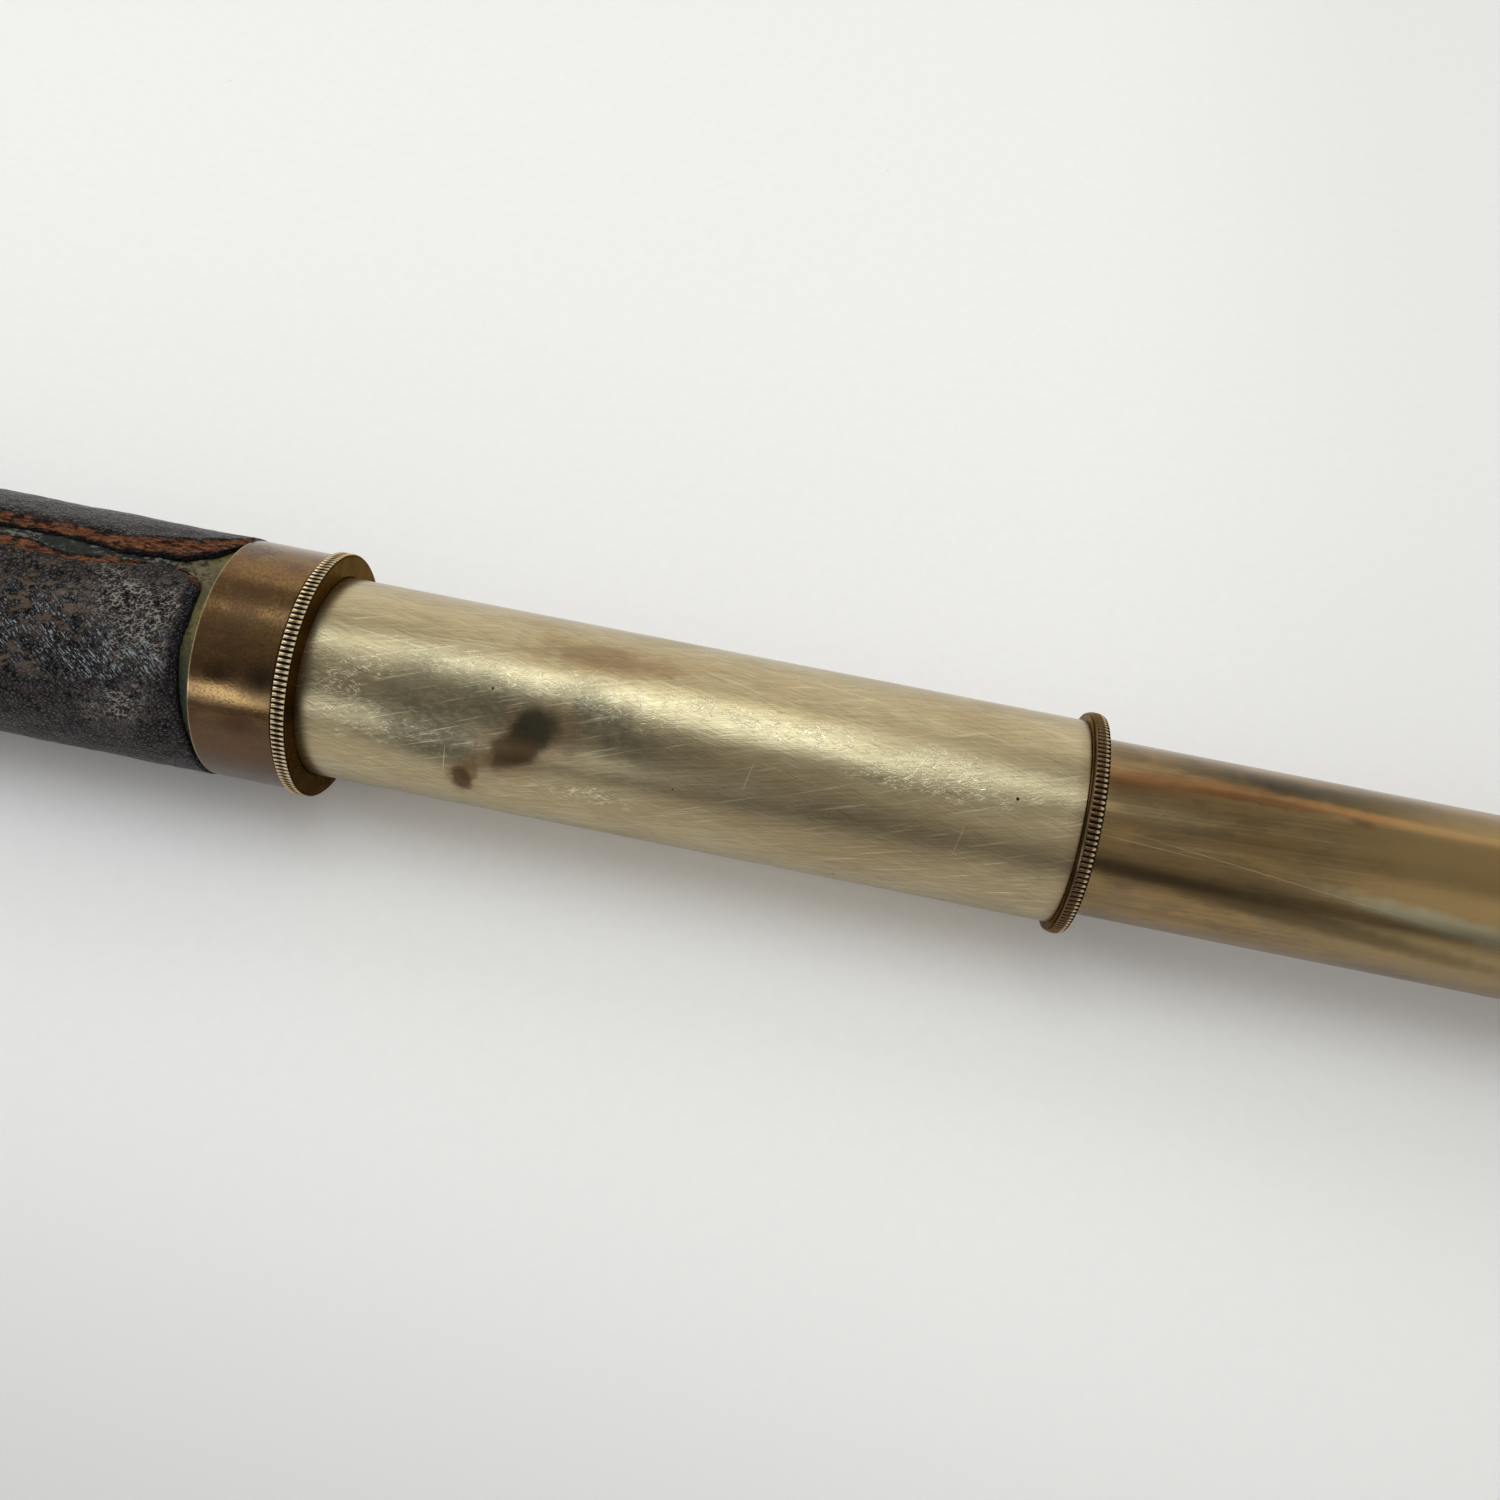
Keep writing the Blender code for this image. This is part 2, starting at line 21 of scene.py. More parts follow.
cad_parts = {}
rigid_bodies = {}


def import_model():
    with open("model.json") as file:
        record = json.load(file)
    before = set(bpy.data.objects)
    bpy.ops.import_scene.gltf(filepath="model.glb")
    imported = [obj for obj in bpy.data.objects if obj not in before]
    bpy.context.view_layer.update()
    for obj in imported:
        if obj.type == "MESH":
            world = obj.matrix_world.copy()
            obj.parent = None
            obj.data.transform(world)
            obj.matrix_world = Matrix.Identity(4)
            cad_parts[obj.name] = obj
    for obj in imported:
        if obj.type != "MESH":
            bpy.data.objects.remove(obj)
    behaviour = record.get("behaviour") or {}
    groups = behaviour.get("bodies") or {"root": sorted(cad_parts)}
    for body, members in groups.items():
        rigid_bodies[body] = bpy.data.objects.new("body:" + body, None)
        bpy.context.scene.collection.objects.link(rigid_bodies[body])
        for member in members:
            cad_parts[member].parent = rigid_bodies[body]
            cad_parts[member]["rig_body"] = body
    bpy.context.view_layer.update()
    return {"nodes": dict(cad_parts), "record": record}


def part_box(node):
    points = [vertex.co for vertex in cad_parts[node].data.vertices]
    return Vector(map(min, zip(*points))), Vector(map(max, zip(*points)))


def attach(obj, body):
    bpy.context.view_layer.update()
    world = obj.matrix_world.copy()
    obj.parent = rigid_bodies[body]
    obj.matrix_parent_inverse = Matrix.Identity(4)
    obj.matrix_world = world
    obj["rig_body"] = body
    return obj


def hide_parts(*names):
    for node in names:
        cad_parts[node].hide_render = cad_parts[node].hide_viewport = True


MM = 0.001
FORWARD = (1, 0, 0)
UP = (0, 0, 1)

# Camera: it looks down at the axis from the front. Its foot is the x it looks at, in metres.
CAMERA_FOOT = -0.0226
CAMERA_DISTANCE = 0.2288
CAMERA_ELEVATION = math.radians(55)
CAMERA_YAW = 0.0494
CAMERA_PITCH = 0.0059
CAMERA_ROLL = 0.1959
CAMERA_LENS = 33.71

# Lights, in metres: places are measured from the paper under the camera's foot, or from the collar.
WINDOW_ENDS = ((-0.49, 0.47, 1.5), (0.13, -0.37, 1.5))
WINDOW_WIDTH = 0.6
LAMP_PLACE = (-0.16, 0.54, 1.5)
LAMP_SIZE = (0.4, 0.5)
LOW_LIGHT_PLACE = (-0.32, -0.87, 0.29)
LOW_LIGHT_SIZE = (0.5, 0.22)

# The paper: half its side, and how far it lies below the telescope, in metres.
PAPER_REACH = 3
PAPER_DEPTH = 0.0001

# Nodes that keep their CAD meshes: the guide sleeves, of which nothing shows, and the parts of the
# eye shutter, whose edges are rounded.
HIDDEN_NODES = {"barrel_guide_sleeve", "draw_1_guide_sleeve", "draw_2_guide_sleeve"}
SHUTTER_NODES = {"eye_shutter", "shutter_knob", "shutter_pivot_screw"}
SHUTTER_EDGE = 0.1

# Turned pieces: the sides of the CAD meshes, and the sides, edge length and edge radius of the fine
# ones, in millimetres.
CAD_SIDES = 32
SEGMENTS = 192
COARSE = 4.0
EDGE_RADIUS = 0.12
EDGE_STEPS = 4
# An edge is eased where the outline turns by more than this. The rounding takes at most this share
# of the shorter side, and points this many times as far out keep the sides flat.
EASED_TURN = math.radians(12)
EASED_SHARE = 0.4
EASED_MARGIN = 1.25

# Milled rims: how many teeth each has, and how they are divided. Lengths are in millimetres.
TEETH = {
    "objective_cell": 141,
    "barrel_guide_ring": 141,
    "draw_1_guide_ring": 126,
    "draw_2_guide_ring": 110,
    "eyepiece_cup": 95,
}
TOOTH_STEPS = 7
TOOTH_ROWS = 0.22
RIM_CHAMFER = 0.42
TOOTH_DEPTH = 0.4
# Below 1 it rounds the crests and sharpens the roots.
TOOTH_POWER = 0.7
# Painted glints at the ends of the teeth fade out between these distances from the rim's sides.
TOOTH_GLINT_REACH = (0.95, 0.6)
# A hollow rim is lowest in its middle, and a round one at its sides.
RIM_HOLLOW = {"objective_cell": 0.12, "barrel_guide_ring": 0.12}
RIM_ROUND = 0.35
# A round rim has a smooth bead along its low side, and the teeth fade in over this length past it.
RIM_BEAD = 0.55
BEAD_FADE = 0.12
# How far past the rim's sides a point still counts as on it.
RIM_SLACK = 0.05

# The first draw: the wall of its tube, how finely it is divided, and its dents as x, angle, length,
# width and depth, in millimetres and degrees.
DRAW_WALL = 0.6
DRAW_SEGMENTS = 288
DRAW_ROWS = 1.0
DENTS = (
    (26, 48, 30, 12, 0.22),
    (50, 62, 34, 13, 0.18),
    (78, 40, 40, 14, 0.12),
    (38, 88, 22, 9, 0.1),
    (98, 66, 30, 12, 0.1),
)

# Marks on the first draw, each at an (x, angle), with a (length, width) in millimetres and a tilt.
# A stain also has a colour and a strength, a scratch has only a length, and a pit only a size.
# Mottled grey blotches, which also paint in the dark reflection below the highlight.
GREY_BLOTCHES_AND_PAINTED_REFLECTION = (
    ((21, 42), (17, 15), 6),
    ((31, 54), (28, 9), -4),
    ((48, 57), (18, 7), -14),
    ((21, 27), (10, 5), 0),
    ((23, 33), (22, 9), -4),
)
# Painted dark reflection: brown bands below the first draw's highlight, where it mirrors the dark
# room.
PAINTED_DARK_REFLECTIONS = (
    ((84, 19), (96, 14), -3),
    ((60, 42), (34, 10), -14),
    ((84, 37), (50, 7), -6),
)
STAINS = (
    ((36.2, 39), (8, 6), 60, (0.075, 0.05, 0.028), 0.85),
    ((37.8, 45), (7.4, 6.4), 20, (0.05, 0.046, 0.03), 0.9),
    ((34.6, 33), (8.4, 5.4), 30, (0.062, 0.038, 0.018), 0.88),
    ((30.8, 25), (4, 1.4), 50, (0.24, 0.15, 0.08), 0.3),
    ((28, 15), (2.6, 5), -20, (0.15, 0.09, 0.04), 0.6),
    ((26.8, 9.5), (3.4, 4.6), 20, (0.06, 0.034, 0.015), 0.85),
    ((45, 97), (14, 4), 0, (0.2, 0.14, 0.08), 0.4),
)
# Pitted patches: their pits are real relief, and the bright glints in them are painted highlights.
PITTED_PATCHES_WITH_PAINTED_GLINTS = (
    ((26, 74), (26, 4), -5),
    ((45, 71), (22, 4.5), -8),
    ((63, 78), (16, 3), 0),
    ((9, 67), (10, 4), 0),
    ((6, 46), (8, 12), 0),
    ((15, 36), (16, 5), 0),
    ((47, 15), (12, 3), 0),
    ((77, 74), (20, 4), 0),
    ((100, 66), (22, 7), 0),
)
SCRATCHES = (
    ((46, 92), 7, 55),
    ((82, 108), 15, -10),
    ((23, 88), 18, 2),
    ((26, 91), 12, 3),
    ((71, 45), 5, 78),
    ((59, 84), 10, -16),
    ((66, 97), 9, -14),
    ((96, 68), 5, 62),
    ((104, 33), 5, 80),
    ((12, 82), 14, -6),
    ((24, 20), 5, 88),
)
PITS = (((30, 65), 0.5), ((86.7, -13.6), 0.5), ((111.4, 61.5), 0.55), ((60, 30), 0.3))

# Streaks on the later draws, some of them painted dark reflections and a painted highlight, given
# like the stains above, and hairlines, like the scratches.
DRAW_STREAKS_AND_PAINTED_REFLECTIONS = (
    # Painted dark reflection along the top.
    ((176, 106), (80, 6.4), -2, (0.04, 0.032, 0.016), 1.0),
    ((134, 92), (30, 3.4), 6, (0.22, 0.105, 0.04), 0.8),
    ((150, 93.5), (26, 1.8), 2, (0.13, 0.06, 0.024), 0.8),
    ((164, 92.5), (4, 2), 0, (0.08, 0.032, 0.014), 0.8),
    ((180, 95), (50, 2), -2, (0.34, 0.155, 0.05), 0.8),
    ((184, 70), (44, 24), 0, (0.42, 0.29, 0.13), 0.75),
    ((178, 12), (44, 10), 0, (0.34, 0.25, 0.13), 0.6),
    # Painted dark reflection: a band below the middle, in two pieces.
    ((138, 38), (40, 5), -4, (0.13, 0.09, 0.045), 0.5),
    ((155, 23), (66, 3), -5, (0.1, 0.07, 0.035), 0.7),
    # Painted greenish highlight.
    ((180, 37), (34, 3), -5, (0.44, 0.42, 0.29), 0.75),
)
DRAW_HAIRS = (((159, 43), 62, -6), ((132, 50), 16, -3))

# The collar: how far it stands out from the barrel, and its smudges like the marks above.
COLLAR_RISE = 0.9
SMUDGES = (((-11.5, 47), (5, 3), 20), ((-7.5, 24), (5, 3), 0))

# Leather surfaces: (x, angle), (length, width) and tilt of each place, in millimetres and degrees.
CRACKLED = (
    ((-27, 70), (17, 9), 0),
    ((-25, 58), (9, 9), 0),
    ((-27, 22), (10, 5), 30),
    ((-70, 60), (30, 12), 0),
)
# Places of painted glints: bluish highlight flecks on the grain.
PAINTED_GLINT_ZONES = (((-47, 52), (32, 12), 0), ((-33, 44), (24, 10), 0), ((-100, 60), (60, 12), 0))
BARED = (
    ((-41, 66), (16, 11), 0),
    ((-47, 34), (16, 5), 0),
    ((-90, 50), (40, 12), 0),
)

# The leather's seam: (x, angle) along each edge of the tear, and along the edge of the whole grain.
LOW_EDGE = (
    (-151, 94.9),
    (-105, 94.8),
    (-60, 92.5),
    (-47, 93.6),
    (-42.7, 90.9),
    (-38.4, 89.5),
    (-32.7, 92.2),
    (-23.7, 93.6),
    (-20.6, 92),
    (-17.9, 87.8),
    (-17.4, 82.6),
)
LOW_GRAIN = (
    (-151, 94.8),
    (-105, 93),
    (-60, 83.5),
    (-49, 83.5),
    (-42, 85),
    (-36, 84),
    (-29, 88.5),
    (-25, 92),
    (-23, 94),
    (-17.4, 82.6),
)
HIGH_EDGE = (
    (-151, 95.1),
    (-105, 95.3),
    (-60, 97),
    (-48.3, 99.3),
    (-40, 99.1),
    (-35.7, 97.5),
    (-32.5, 95.7),
    (-29.1, 96.9),
    (-22, 98.5),
    (-20.2, 102.1),
    (-18.2, 105.1),
    (-16.9, 111.6),
    (-15.8, 120.1),
)
HIGH_GRAIN = (
    (-151, 95.2),
    (-105, 97.5),
    (-60, 105),
    (-46, 106),
    (-37, 105),
    (-31, 107),
    (-26, 112),
    (-22, 117),
    (-15.8, 131),
)
# The leather's end by the collar: (angle, x).
LEATHER_END = (
    (-60, -16.2),
    (-21, -16.4),
    (9, -16.5),
    (35, -17.2),
    (57, -17.9),
    (76, -17.5),
    (97, -17.4),
    (98, -15.7),
    (180, -15.9),
    (300, -16.2),
)
# The sheet's first angle and its sweep round to the seam's other edge, the x range over which the
# seam opens, and the degrees over which the torn grain blends into the whole grain.
SHEET_START = 97
SHEET_SWEEP = 356
SEAM_OPENS = (-108, -75)
TEAR_BLEND = 1.5
# Relief of the sheet, in millimetres: how far its grain and its flesh lie below the covering's
# outline, how high its torn edges curl, and how far its end by the collar is pressed down.
GRAIN_DEPTH = 0.22
FLESH_DEPTH = 0.45
CURL = 0.35
END_DROP = 0.5
# The x range over which the flap beside the tear rises, and the range, measured from the sheet's
# end, over which its smooth band by the collar, painted dark as shade, fades in.
FLAP_RISES = (-30, -20)
RIM_BAND = (-1.9, -0.9)
# The sheet's border lies lower by this share of its thickness, and its walls reach this far into
# the barrel.
BORDER_DROP = 0.15
WALL_SINK = 0.05


def unit(value, low, high):
    """0 below low, 1 above high, and a smooth step between. It takes arrays."""
    t = np.clip((value - low) / (high - low), 0, 1)
    return t * t * (3 - 2 * t)


def along(points, x):
    """The value at x of a line through (x, value) points."""
    xs, values = zip(*points)
    return np.interp(x, xs, values)


def field_noise(points, size, octaves=2):
    """Smooth noise from -1 to 1 at each of an array of points, with features of that size."""
    flat = np.asarray(points, float).reshape(-1, 3) / size
    values = [noise.fractal(p, 0.8, 2.0, octaves) for p in flat]
    return np.array(values).reshape(np.shape(points)[:-1])


# ---- Shapes -------------------------------------------------------------------------------------


def outline_of(node, sides):
    """The outline of a turned CAD node as (x, radius) points in millimetres, and whether it is
    closed."""
    mesh = FRAME["nodes"][node].data
    found = {}
    for vertex in mesh.vertices:
        local = (vertex.co - ORIGIN) / MM
        radius = math.hypot(local.y, local.z)
        turn = math.atan2(local.z, local.y) if radius > 0.01 else None
        found[vertex.index] = (round(local.x, 3), round(radius, 3), turn)
    step = math.tau / sides
    wanted = -math.pi / 2 + step / 2

    def on_meridian(point):
        return point[2] is None or abs(point[2] - wanted) < step / 8

    joined = {}
    for edge in mesh.edges:
        a, b = (found[i] for i in edge.vertices)
        if a[:2] != b[:2] and on_meridian(a) and on_meridian(b):
            joined.setdefault(a[:2], set()).add(b[:2])
            joined.setdefault(b[:2], set()).add(a[:2])
    ends = [point for point in joined if point[1] == 0]
    path = [min(ends) if ends else min(joined)]
    while True:
        onward = [p for p in joined[path[-1]] if p not in path]
        if not onward:
            break
        path.append(min(onward))
    corner = math.cos(math.pi / sides)
    return [(x, radius * corner) for x, radius in path], not ends


def eased(outline, closed, radius):
    """The outline with each corner rounded to that radius, or to less beside a short edge."""
    points = [Vector(p) for p in outline]
    count = len(points)
    made = []
    for i, corner in enumerate(points):
        if not closed and i in (0, count - 1):
            made.append(tuple(corner))
            continue
        before = points[i - 1] - corner
        after = points[(i + 1) % count] - corner
        turn = math.pi - before.angle(after)
        if turn < EASED_TURN:
            made.append(tuple(corner))
            continue
        reach = min(radius, before.length * EASED_SHARE, after.length * EASED_SHARE)
        start = corner + before.normalized() * reach
        end = corner + after.normalized() * reach
        made.append(tuple(corner + before.normalized() * reach * EASED_MARGIN))
        for step in range(EDGE_STEPS + 1):
            t = step / EDGE_STEPS
            point = start * (1 - t) ** 2 + corner * 2 * t * (1 - t) + end * t**2
            made.append(tuple(point))
        made.append(tuple(corner + after.normalized() * reach * EASED_MARGIN))
    return made


def divided(outline, closed, longest, inner):
    """The outline with its edges cut into equal lengths: at most longest outside the radius inner,
    and at most COARSE inside it."""
    made = []
    following = outline[1:] + (outline[:1] if closed else [])
    for a, b in zip(outline, following):
        most = longest if min(a[1], b[1]) > inner else COARSE
        parts = max(1, math.ceil(math.dist(a, b) / most))
        for part in range(parts):
            t = part / parts
            made.append((a[0] + (b[0] - a[0]) * t, a[1] + (b[1] - a[1]) * t))
    return made if closed else made + [outline[-1]]


def grid_faces(rows, columns, wrap_rows, wrap_columns):
    """Quads of a grid of rows x columns points, as an array of corner indices."""
    r = np.arange(rows if wrap_rows else rows - 1)
    c = np.arange(columns if wrap_columns else columns - 1)
    r, c = (v.ravel() for v in np.meshgrid(r, c, indexing="ij"))
    r_next = (r + 1) % rows
    c_next = (c + 1) % columns
    corners = (
        r * columns + c,
        r * columns + c_next,
        r_next * columns + c_next,
        r_next * columns + c,
    )
    return np.stack(corners, 1)


def new_piece(name, points, faces, body, material, layers=None):
    """A smooth piece in the frame of ORIGIN, riding on a body. Points are in millimetres.
    layers holds a value for each point, by name, for the material to read."""
    mesh = bpy.data.meshes.new(name)
    mesh.from_pydata((points * MM).tolist(), [], faces.tolist())
    for layer, values in (layers or {}).items():
        attribute = mesh.attributes.new(layer, "FLOAT", "POINT")
        attribute.data.foreach_set("value", values.astype(np.float32))
    shape = bmesh.new()
    shape.from_mesh(mesh)
    bmesh.ops.remove_doubles(shape, verts=shape.verts, dist=1e-7)
    bmesh.ops.recalc_face_normals(shape, faces=shape.faces)
    shape.to_mesh(mesh)
    shape.free()
    mesh.shade_smooth()
    mesh.materials.append(material)
    piece = bpy.data.objects.new(name, mesh)
    piece.location = ORIGIN
    bpy.context.scene.collection.objects.link(piece)
    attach(piece, body)
    return piece


def wrapped(x, angle, radius):
    """Points at x, an angle in radians and a radius, from arrays of those."""
    return np.stack([x, -radius * np.cos(angle), radius * np.sin(angle)], -1)


def lathe(name, outline, closed, segments, body, material, shape=None):
    """Turns an outline about the axis. shape(x, angle, radius) returns changed radii."""
    x, radius = (np.array(v)[:, None] for v in zip(*outline))
    angle = np.arange(segments)[None, :] * math.tau / segments
    x, angle, radius = np.broadcast_arrays(x, angle, radius)
    if shape:
        radius = shape(x, angle, radius)
    points = wrapped(x, angle, radius).reshape(-1, 3)
    faces = grid_faces(len(outline), segments, closed, True)
    return new_piece(name, points, faces, body, material)


def milled(teeth, low, high, rim, hollow, bead):
    """A shape for lathe() that mills teeth across a rim from x = low to high, past a smooth bead.
    hollow is how much lower the rim's middle is; without one, the rim is round."""

    def shape(x, angle, radius):
        side = (2 * np.clip((x - low) / (high - low), 0, 1) - 1) ** 2
        crest = np.abs(np.sin(angle * teeth / 2)) ** TOOTH_POWER
        depth = TOOTH_DEPTH * (1 - crest) * unit(x - low, bead, bead + BEAD_FADE)
        sag = hollow * (1 - side) if hollow else RIM_ROUND * side**1.5
        cut = np.where((x > low - RIM_SLACK) & (x < high + RIM_SLACK), depth + sag, 0)
        return np.minimum(radius, rim - cut)

    return shape


# ---- Materials ----------------------------------------------------------------------------------


class Graph:
    """A node tree that grows by calls. A value is a number, a colour or another node's socket."""

    def __init__(self, tree):
        self.nodes = tree.nodes
        self.links = tree.links

    def plug(self, value, socket):
        if isinstance(value, bpy.types.NodeSocket):
            self.links.new(value, socket)
        else:
            socket.default_value = value

    def math(self, operation, *values):
        node = self.nodes.new("ShaderNodeMath")
        node.operation = operation
        for value, socket in zip(values, node.inputs):
            self.plug(value, socket)
        return node.outputs[0]

    def folded(self, operation, values):
        total, *others = values
        for value in others:
            total = self.math(operation, total, value)
        return total

    def add(self, *values):
        return self.folded("ADD", values)

    def times(self, *values):
        return self.folded("MULTIPLY", values)

    def most(self, *values):
        return self.folded("MAXIMUM", values)

    def less(self, value):
        """1 - value."""
        return self.math("SUBTRACT", 1, value)

    def vector(self, operation, *values, **named):
        node = self.nodes.new("ShaderNodeVectorMath")
        node.operation = operation
        for value, socket in zip(values, node.inputs):
            self.plug(value, socket)
        for name, value in named.items():
            self.plug(value, node.inputs[name])
        length = operation in ("LENGTH", "DISTANCE", "DOT_PRODUCT")
        return node.outputs["Value" if length else "Vector"]

    def ramp(self, value, low, high, to_low=0.0, to_high=1.0):
        """A smooth step from to_low at low to to_high at high."""
        node = self.nodes.new("ShaderNodeMapRange")
        node.interpolation_type = "SMOOTHSTEP"
        for entry, socket in zip((value, low, high, to_low, to_high), node.inputs):
            self.plug(entry, socket)
        return node.outputs[0]

    def mix(self, factor, a, b):
        """Colour a where factor is 0 and b where it is 1."""
        node = self.nodes.new("ShaderNodeMix")
        node.data_type = "RGBA"
        self.plug(factor, node.inputs["Factor"])
        for value, name in ((a, "A"), (b, "B")):
            socket = next(s for s in node.inputs if s.name == name and s.type == "RGBA")
            if isinstance(value, tuple) and len(value) == 3:
                value = (*value, 1)
            self.plug(value, socket)
        return next(s for s in node.outputs if s.type == "RGBA")


class Look(Graph):
    """A procedural material. Its points are in millimetres in the piece's own frame."""

    def __init__(self, name):
        self.material = bpy.data.materials.new(name)
        self.material.use_nodes = True
        super().__init__(self.material.node_tree)
        self.shader = self.nodes["Principled BSDF"]
        place = self.nodes.new("ShaderNodeTexCoord")
        self.point = self.vector("SCALE", place.outputs["Object"], Scale=1 / MM)
        across = self.vector("MULTIPLY", self.point, (0, 1, 1))
        self.radius = self.vector("LENGTH", across)
        self.x = self.toward(FORWARD)

    def set(self, **inputs):
        """Sets the shader's own inputs: Base_Color for Base Color, and so on."""
        for name, value in inputs.items():
            self.plug(value, self.shader.inputs[name.replace("_", " ")])

    def grain(self, length, width, twist=0.0):
        """Points scaled so that a feature is length mm along the axis and width mm across it.
        twist turns it round the axis, in degrees for each millimetre along."""
        turn = self.nodes.new("ShaderNodeVectorRotate")
        turn.rotation_type = "X_AXIS"
        self.plug(self.point, turn.inputs["Vector"])
        self.plug(self.math("MULTIPLY", self.x, math.radians(twist)), turn.inputs["Angle"])
        return self.vector("MULTIPLY", turn.outputs[0], (1 / length, 1 / width, 1 / width))

    def noise(self, point, scale=1.0, detail=3.0, roughness=0.55):
        node = self.nodes.new("ShaderNodeTexNoise")
        self.plug(point, node.inputs["Vector"])
        node.inputs["Scale"].default_value = scale
        node.inputs["Detail"].default_value = detail
        node.inputs["Roughness"].default_value = roughness
        return node.outputs["Fac"]

    def cells(self, point, feature="F1", scale=1.0):
        node = self.nodes.new("ShaderNodeTexVoronoi")
        node.feature = feature
        self.plug(point, node.inputs["Vector"])
        node.inputs["Scale"].default_value = scale
        return node.outputs["Distance"]

    def toward(self, direction, size=1.0):
        """How far the point lies in a direction, over size."""
        return self.vector("DOT_PRODUCT", self.point, tuple(Vector(direction) / size))

    def spot(self, x, angle, radius, length, width, tilt, ragged, soft):
        """1 inside an oval mark on a surface of that radius, 0 outside it. tilt is in degrees."""
        a = math.radians(angle)
        t = math.radians(tilt)
        forward = Vector(FORWARD)
        round_ = Vector((0, math.sin(a), math.cos(a)))
        first = forward * math.cos(t) + round_ * math.sin(t)
        second = round_ * math.cos(t) - forward * math.sin(t)
        outward = first.cross(second)
        place = self.nodes.new("ShaderNodeMapping")
        place.vector_type = "TEXTURE"
        self.plug(self.point, place.inputs["Vector"])
        centre = (x, -radius * math.cos(a), radius * math.sin(a))
        place.inputs["Location"].default_value = centre
        turn = Matrix((first, second, outward)).transposed().to_euler()
        place.inputs["Rotation"].default_value = turn
        place.inputs["Scale"].default_value = (length / 2, width / 2, max(length, width) / 2)
        reach = self.vector("LENGTH", place.outputs[0])
        rough = self.noise(self.point, 1.2 / max(0.3, min(length, width)), 4)
        edge = self.math("MULTIPLY_ADD", self.math("SUBTRACT", rough, 0.5), 4 * ragged, reach)
        return self.ramp(edge, 1 + soft / 2, 1 - soft / 2)

    def spots(self, marks, radius, ragged=0.5, soft=1.2):
        """All the marks of a list of ((x, angle), (length, width), tilt) as one value."""
        made = [self.spot(*at, radius, *size, tilt, ragged, soft) for at, size, tilt in marks]
        return self.most(*made)

    def with_stains_and_painted_light(self, colour, marks, radius, ragged, soft):
        """The colour with all the marks of a list of (x, angle), (length, width), tilt, tint and
        strength on it."""
        for at, size, tilt, tint, strength in marks:
            mark = self.spot(*at, radius, *size, tilt, ragged, soft)
            colour = self.mix(self.times(mark, strength), colour, tint)
        return colour

    def hairlines(self, marks, radius, width=0.16):
        """All the scratches of a list of ((x, angle), length, tilt) as one value."""
        long = [((x, a), (length, width), tilt) for (x, a), length, tilt in marks]
        return self.spots(long, radius, 0.02, 0.8)

    def layer(self, name):
        """A value that the mesh stores for each of its points."""
        node = self.nodes.new("ShaderNodeAttribute")
        node.attribute_name = name
        return node.outputs["Fac"]

    def bump(self, height, depth):
        """Adds relief. depth is the height in millimetres of a step from 0 to 1."""
        node = self.nodes.new("ShaderNodeBump")
        node.inputs["Distance"].default_value = depth * MM
        self.plug(height, node.inputs["Height"])
        before = self.shader.inputs["Normal"].links
        if before:
            self.plug(before[0].from_socket, node.inputs["Normal"])
        self.plug(node.outputs[0], self.shader.inputs["Normal"])


def plain_brass(name, clean, dull, roughness, streak=0.35, metallic=1.0):
    """Old brass: darker where it is tarnished, with fine lines along it."""
    look = Look(name)
    patches = look.noise(look.grain(9, 4), detail=5)
    fine = look.noise(look.grain(6, streak), detail=3)
    tarnish = look.ramp(look.math("MULTIPLY_ADD", fine, 0.35, patches), 0.5, 0.9)
    look.set(
        Metallic=metallic,
        Base_Color=look.mix(tarnish, clean, dull),
        Roughness=look.ramp(patches, 0.3, 0.75, roughness, roughness + 0.12),
    )
    look.bump(fine, 0.003)
    return look.material


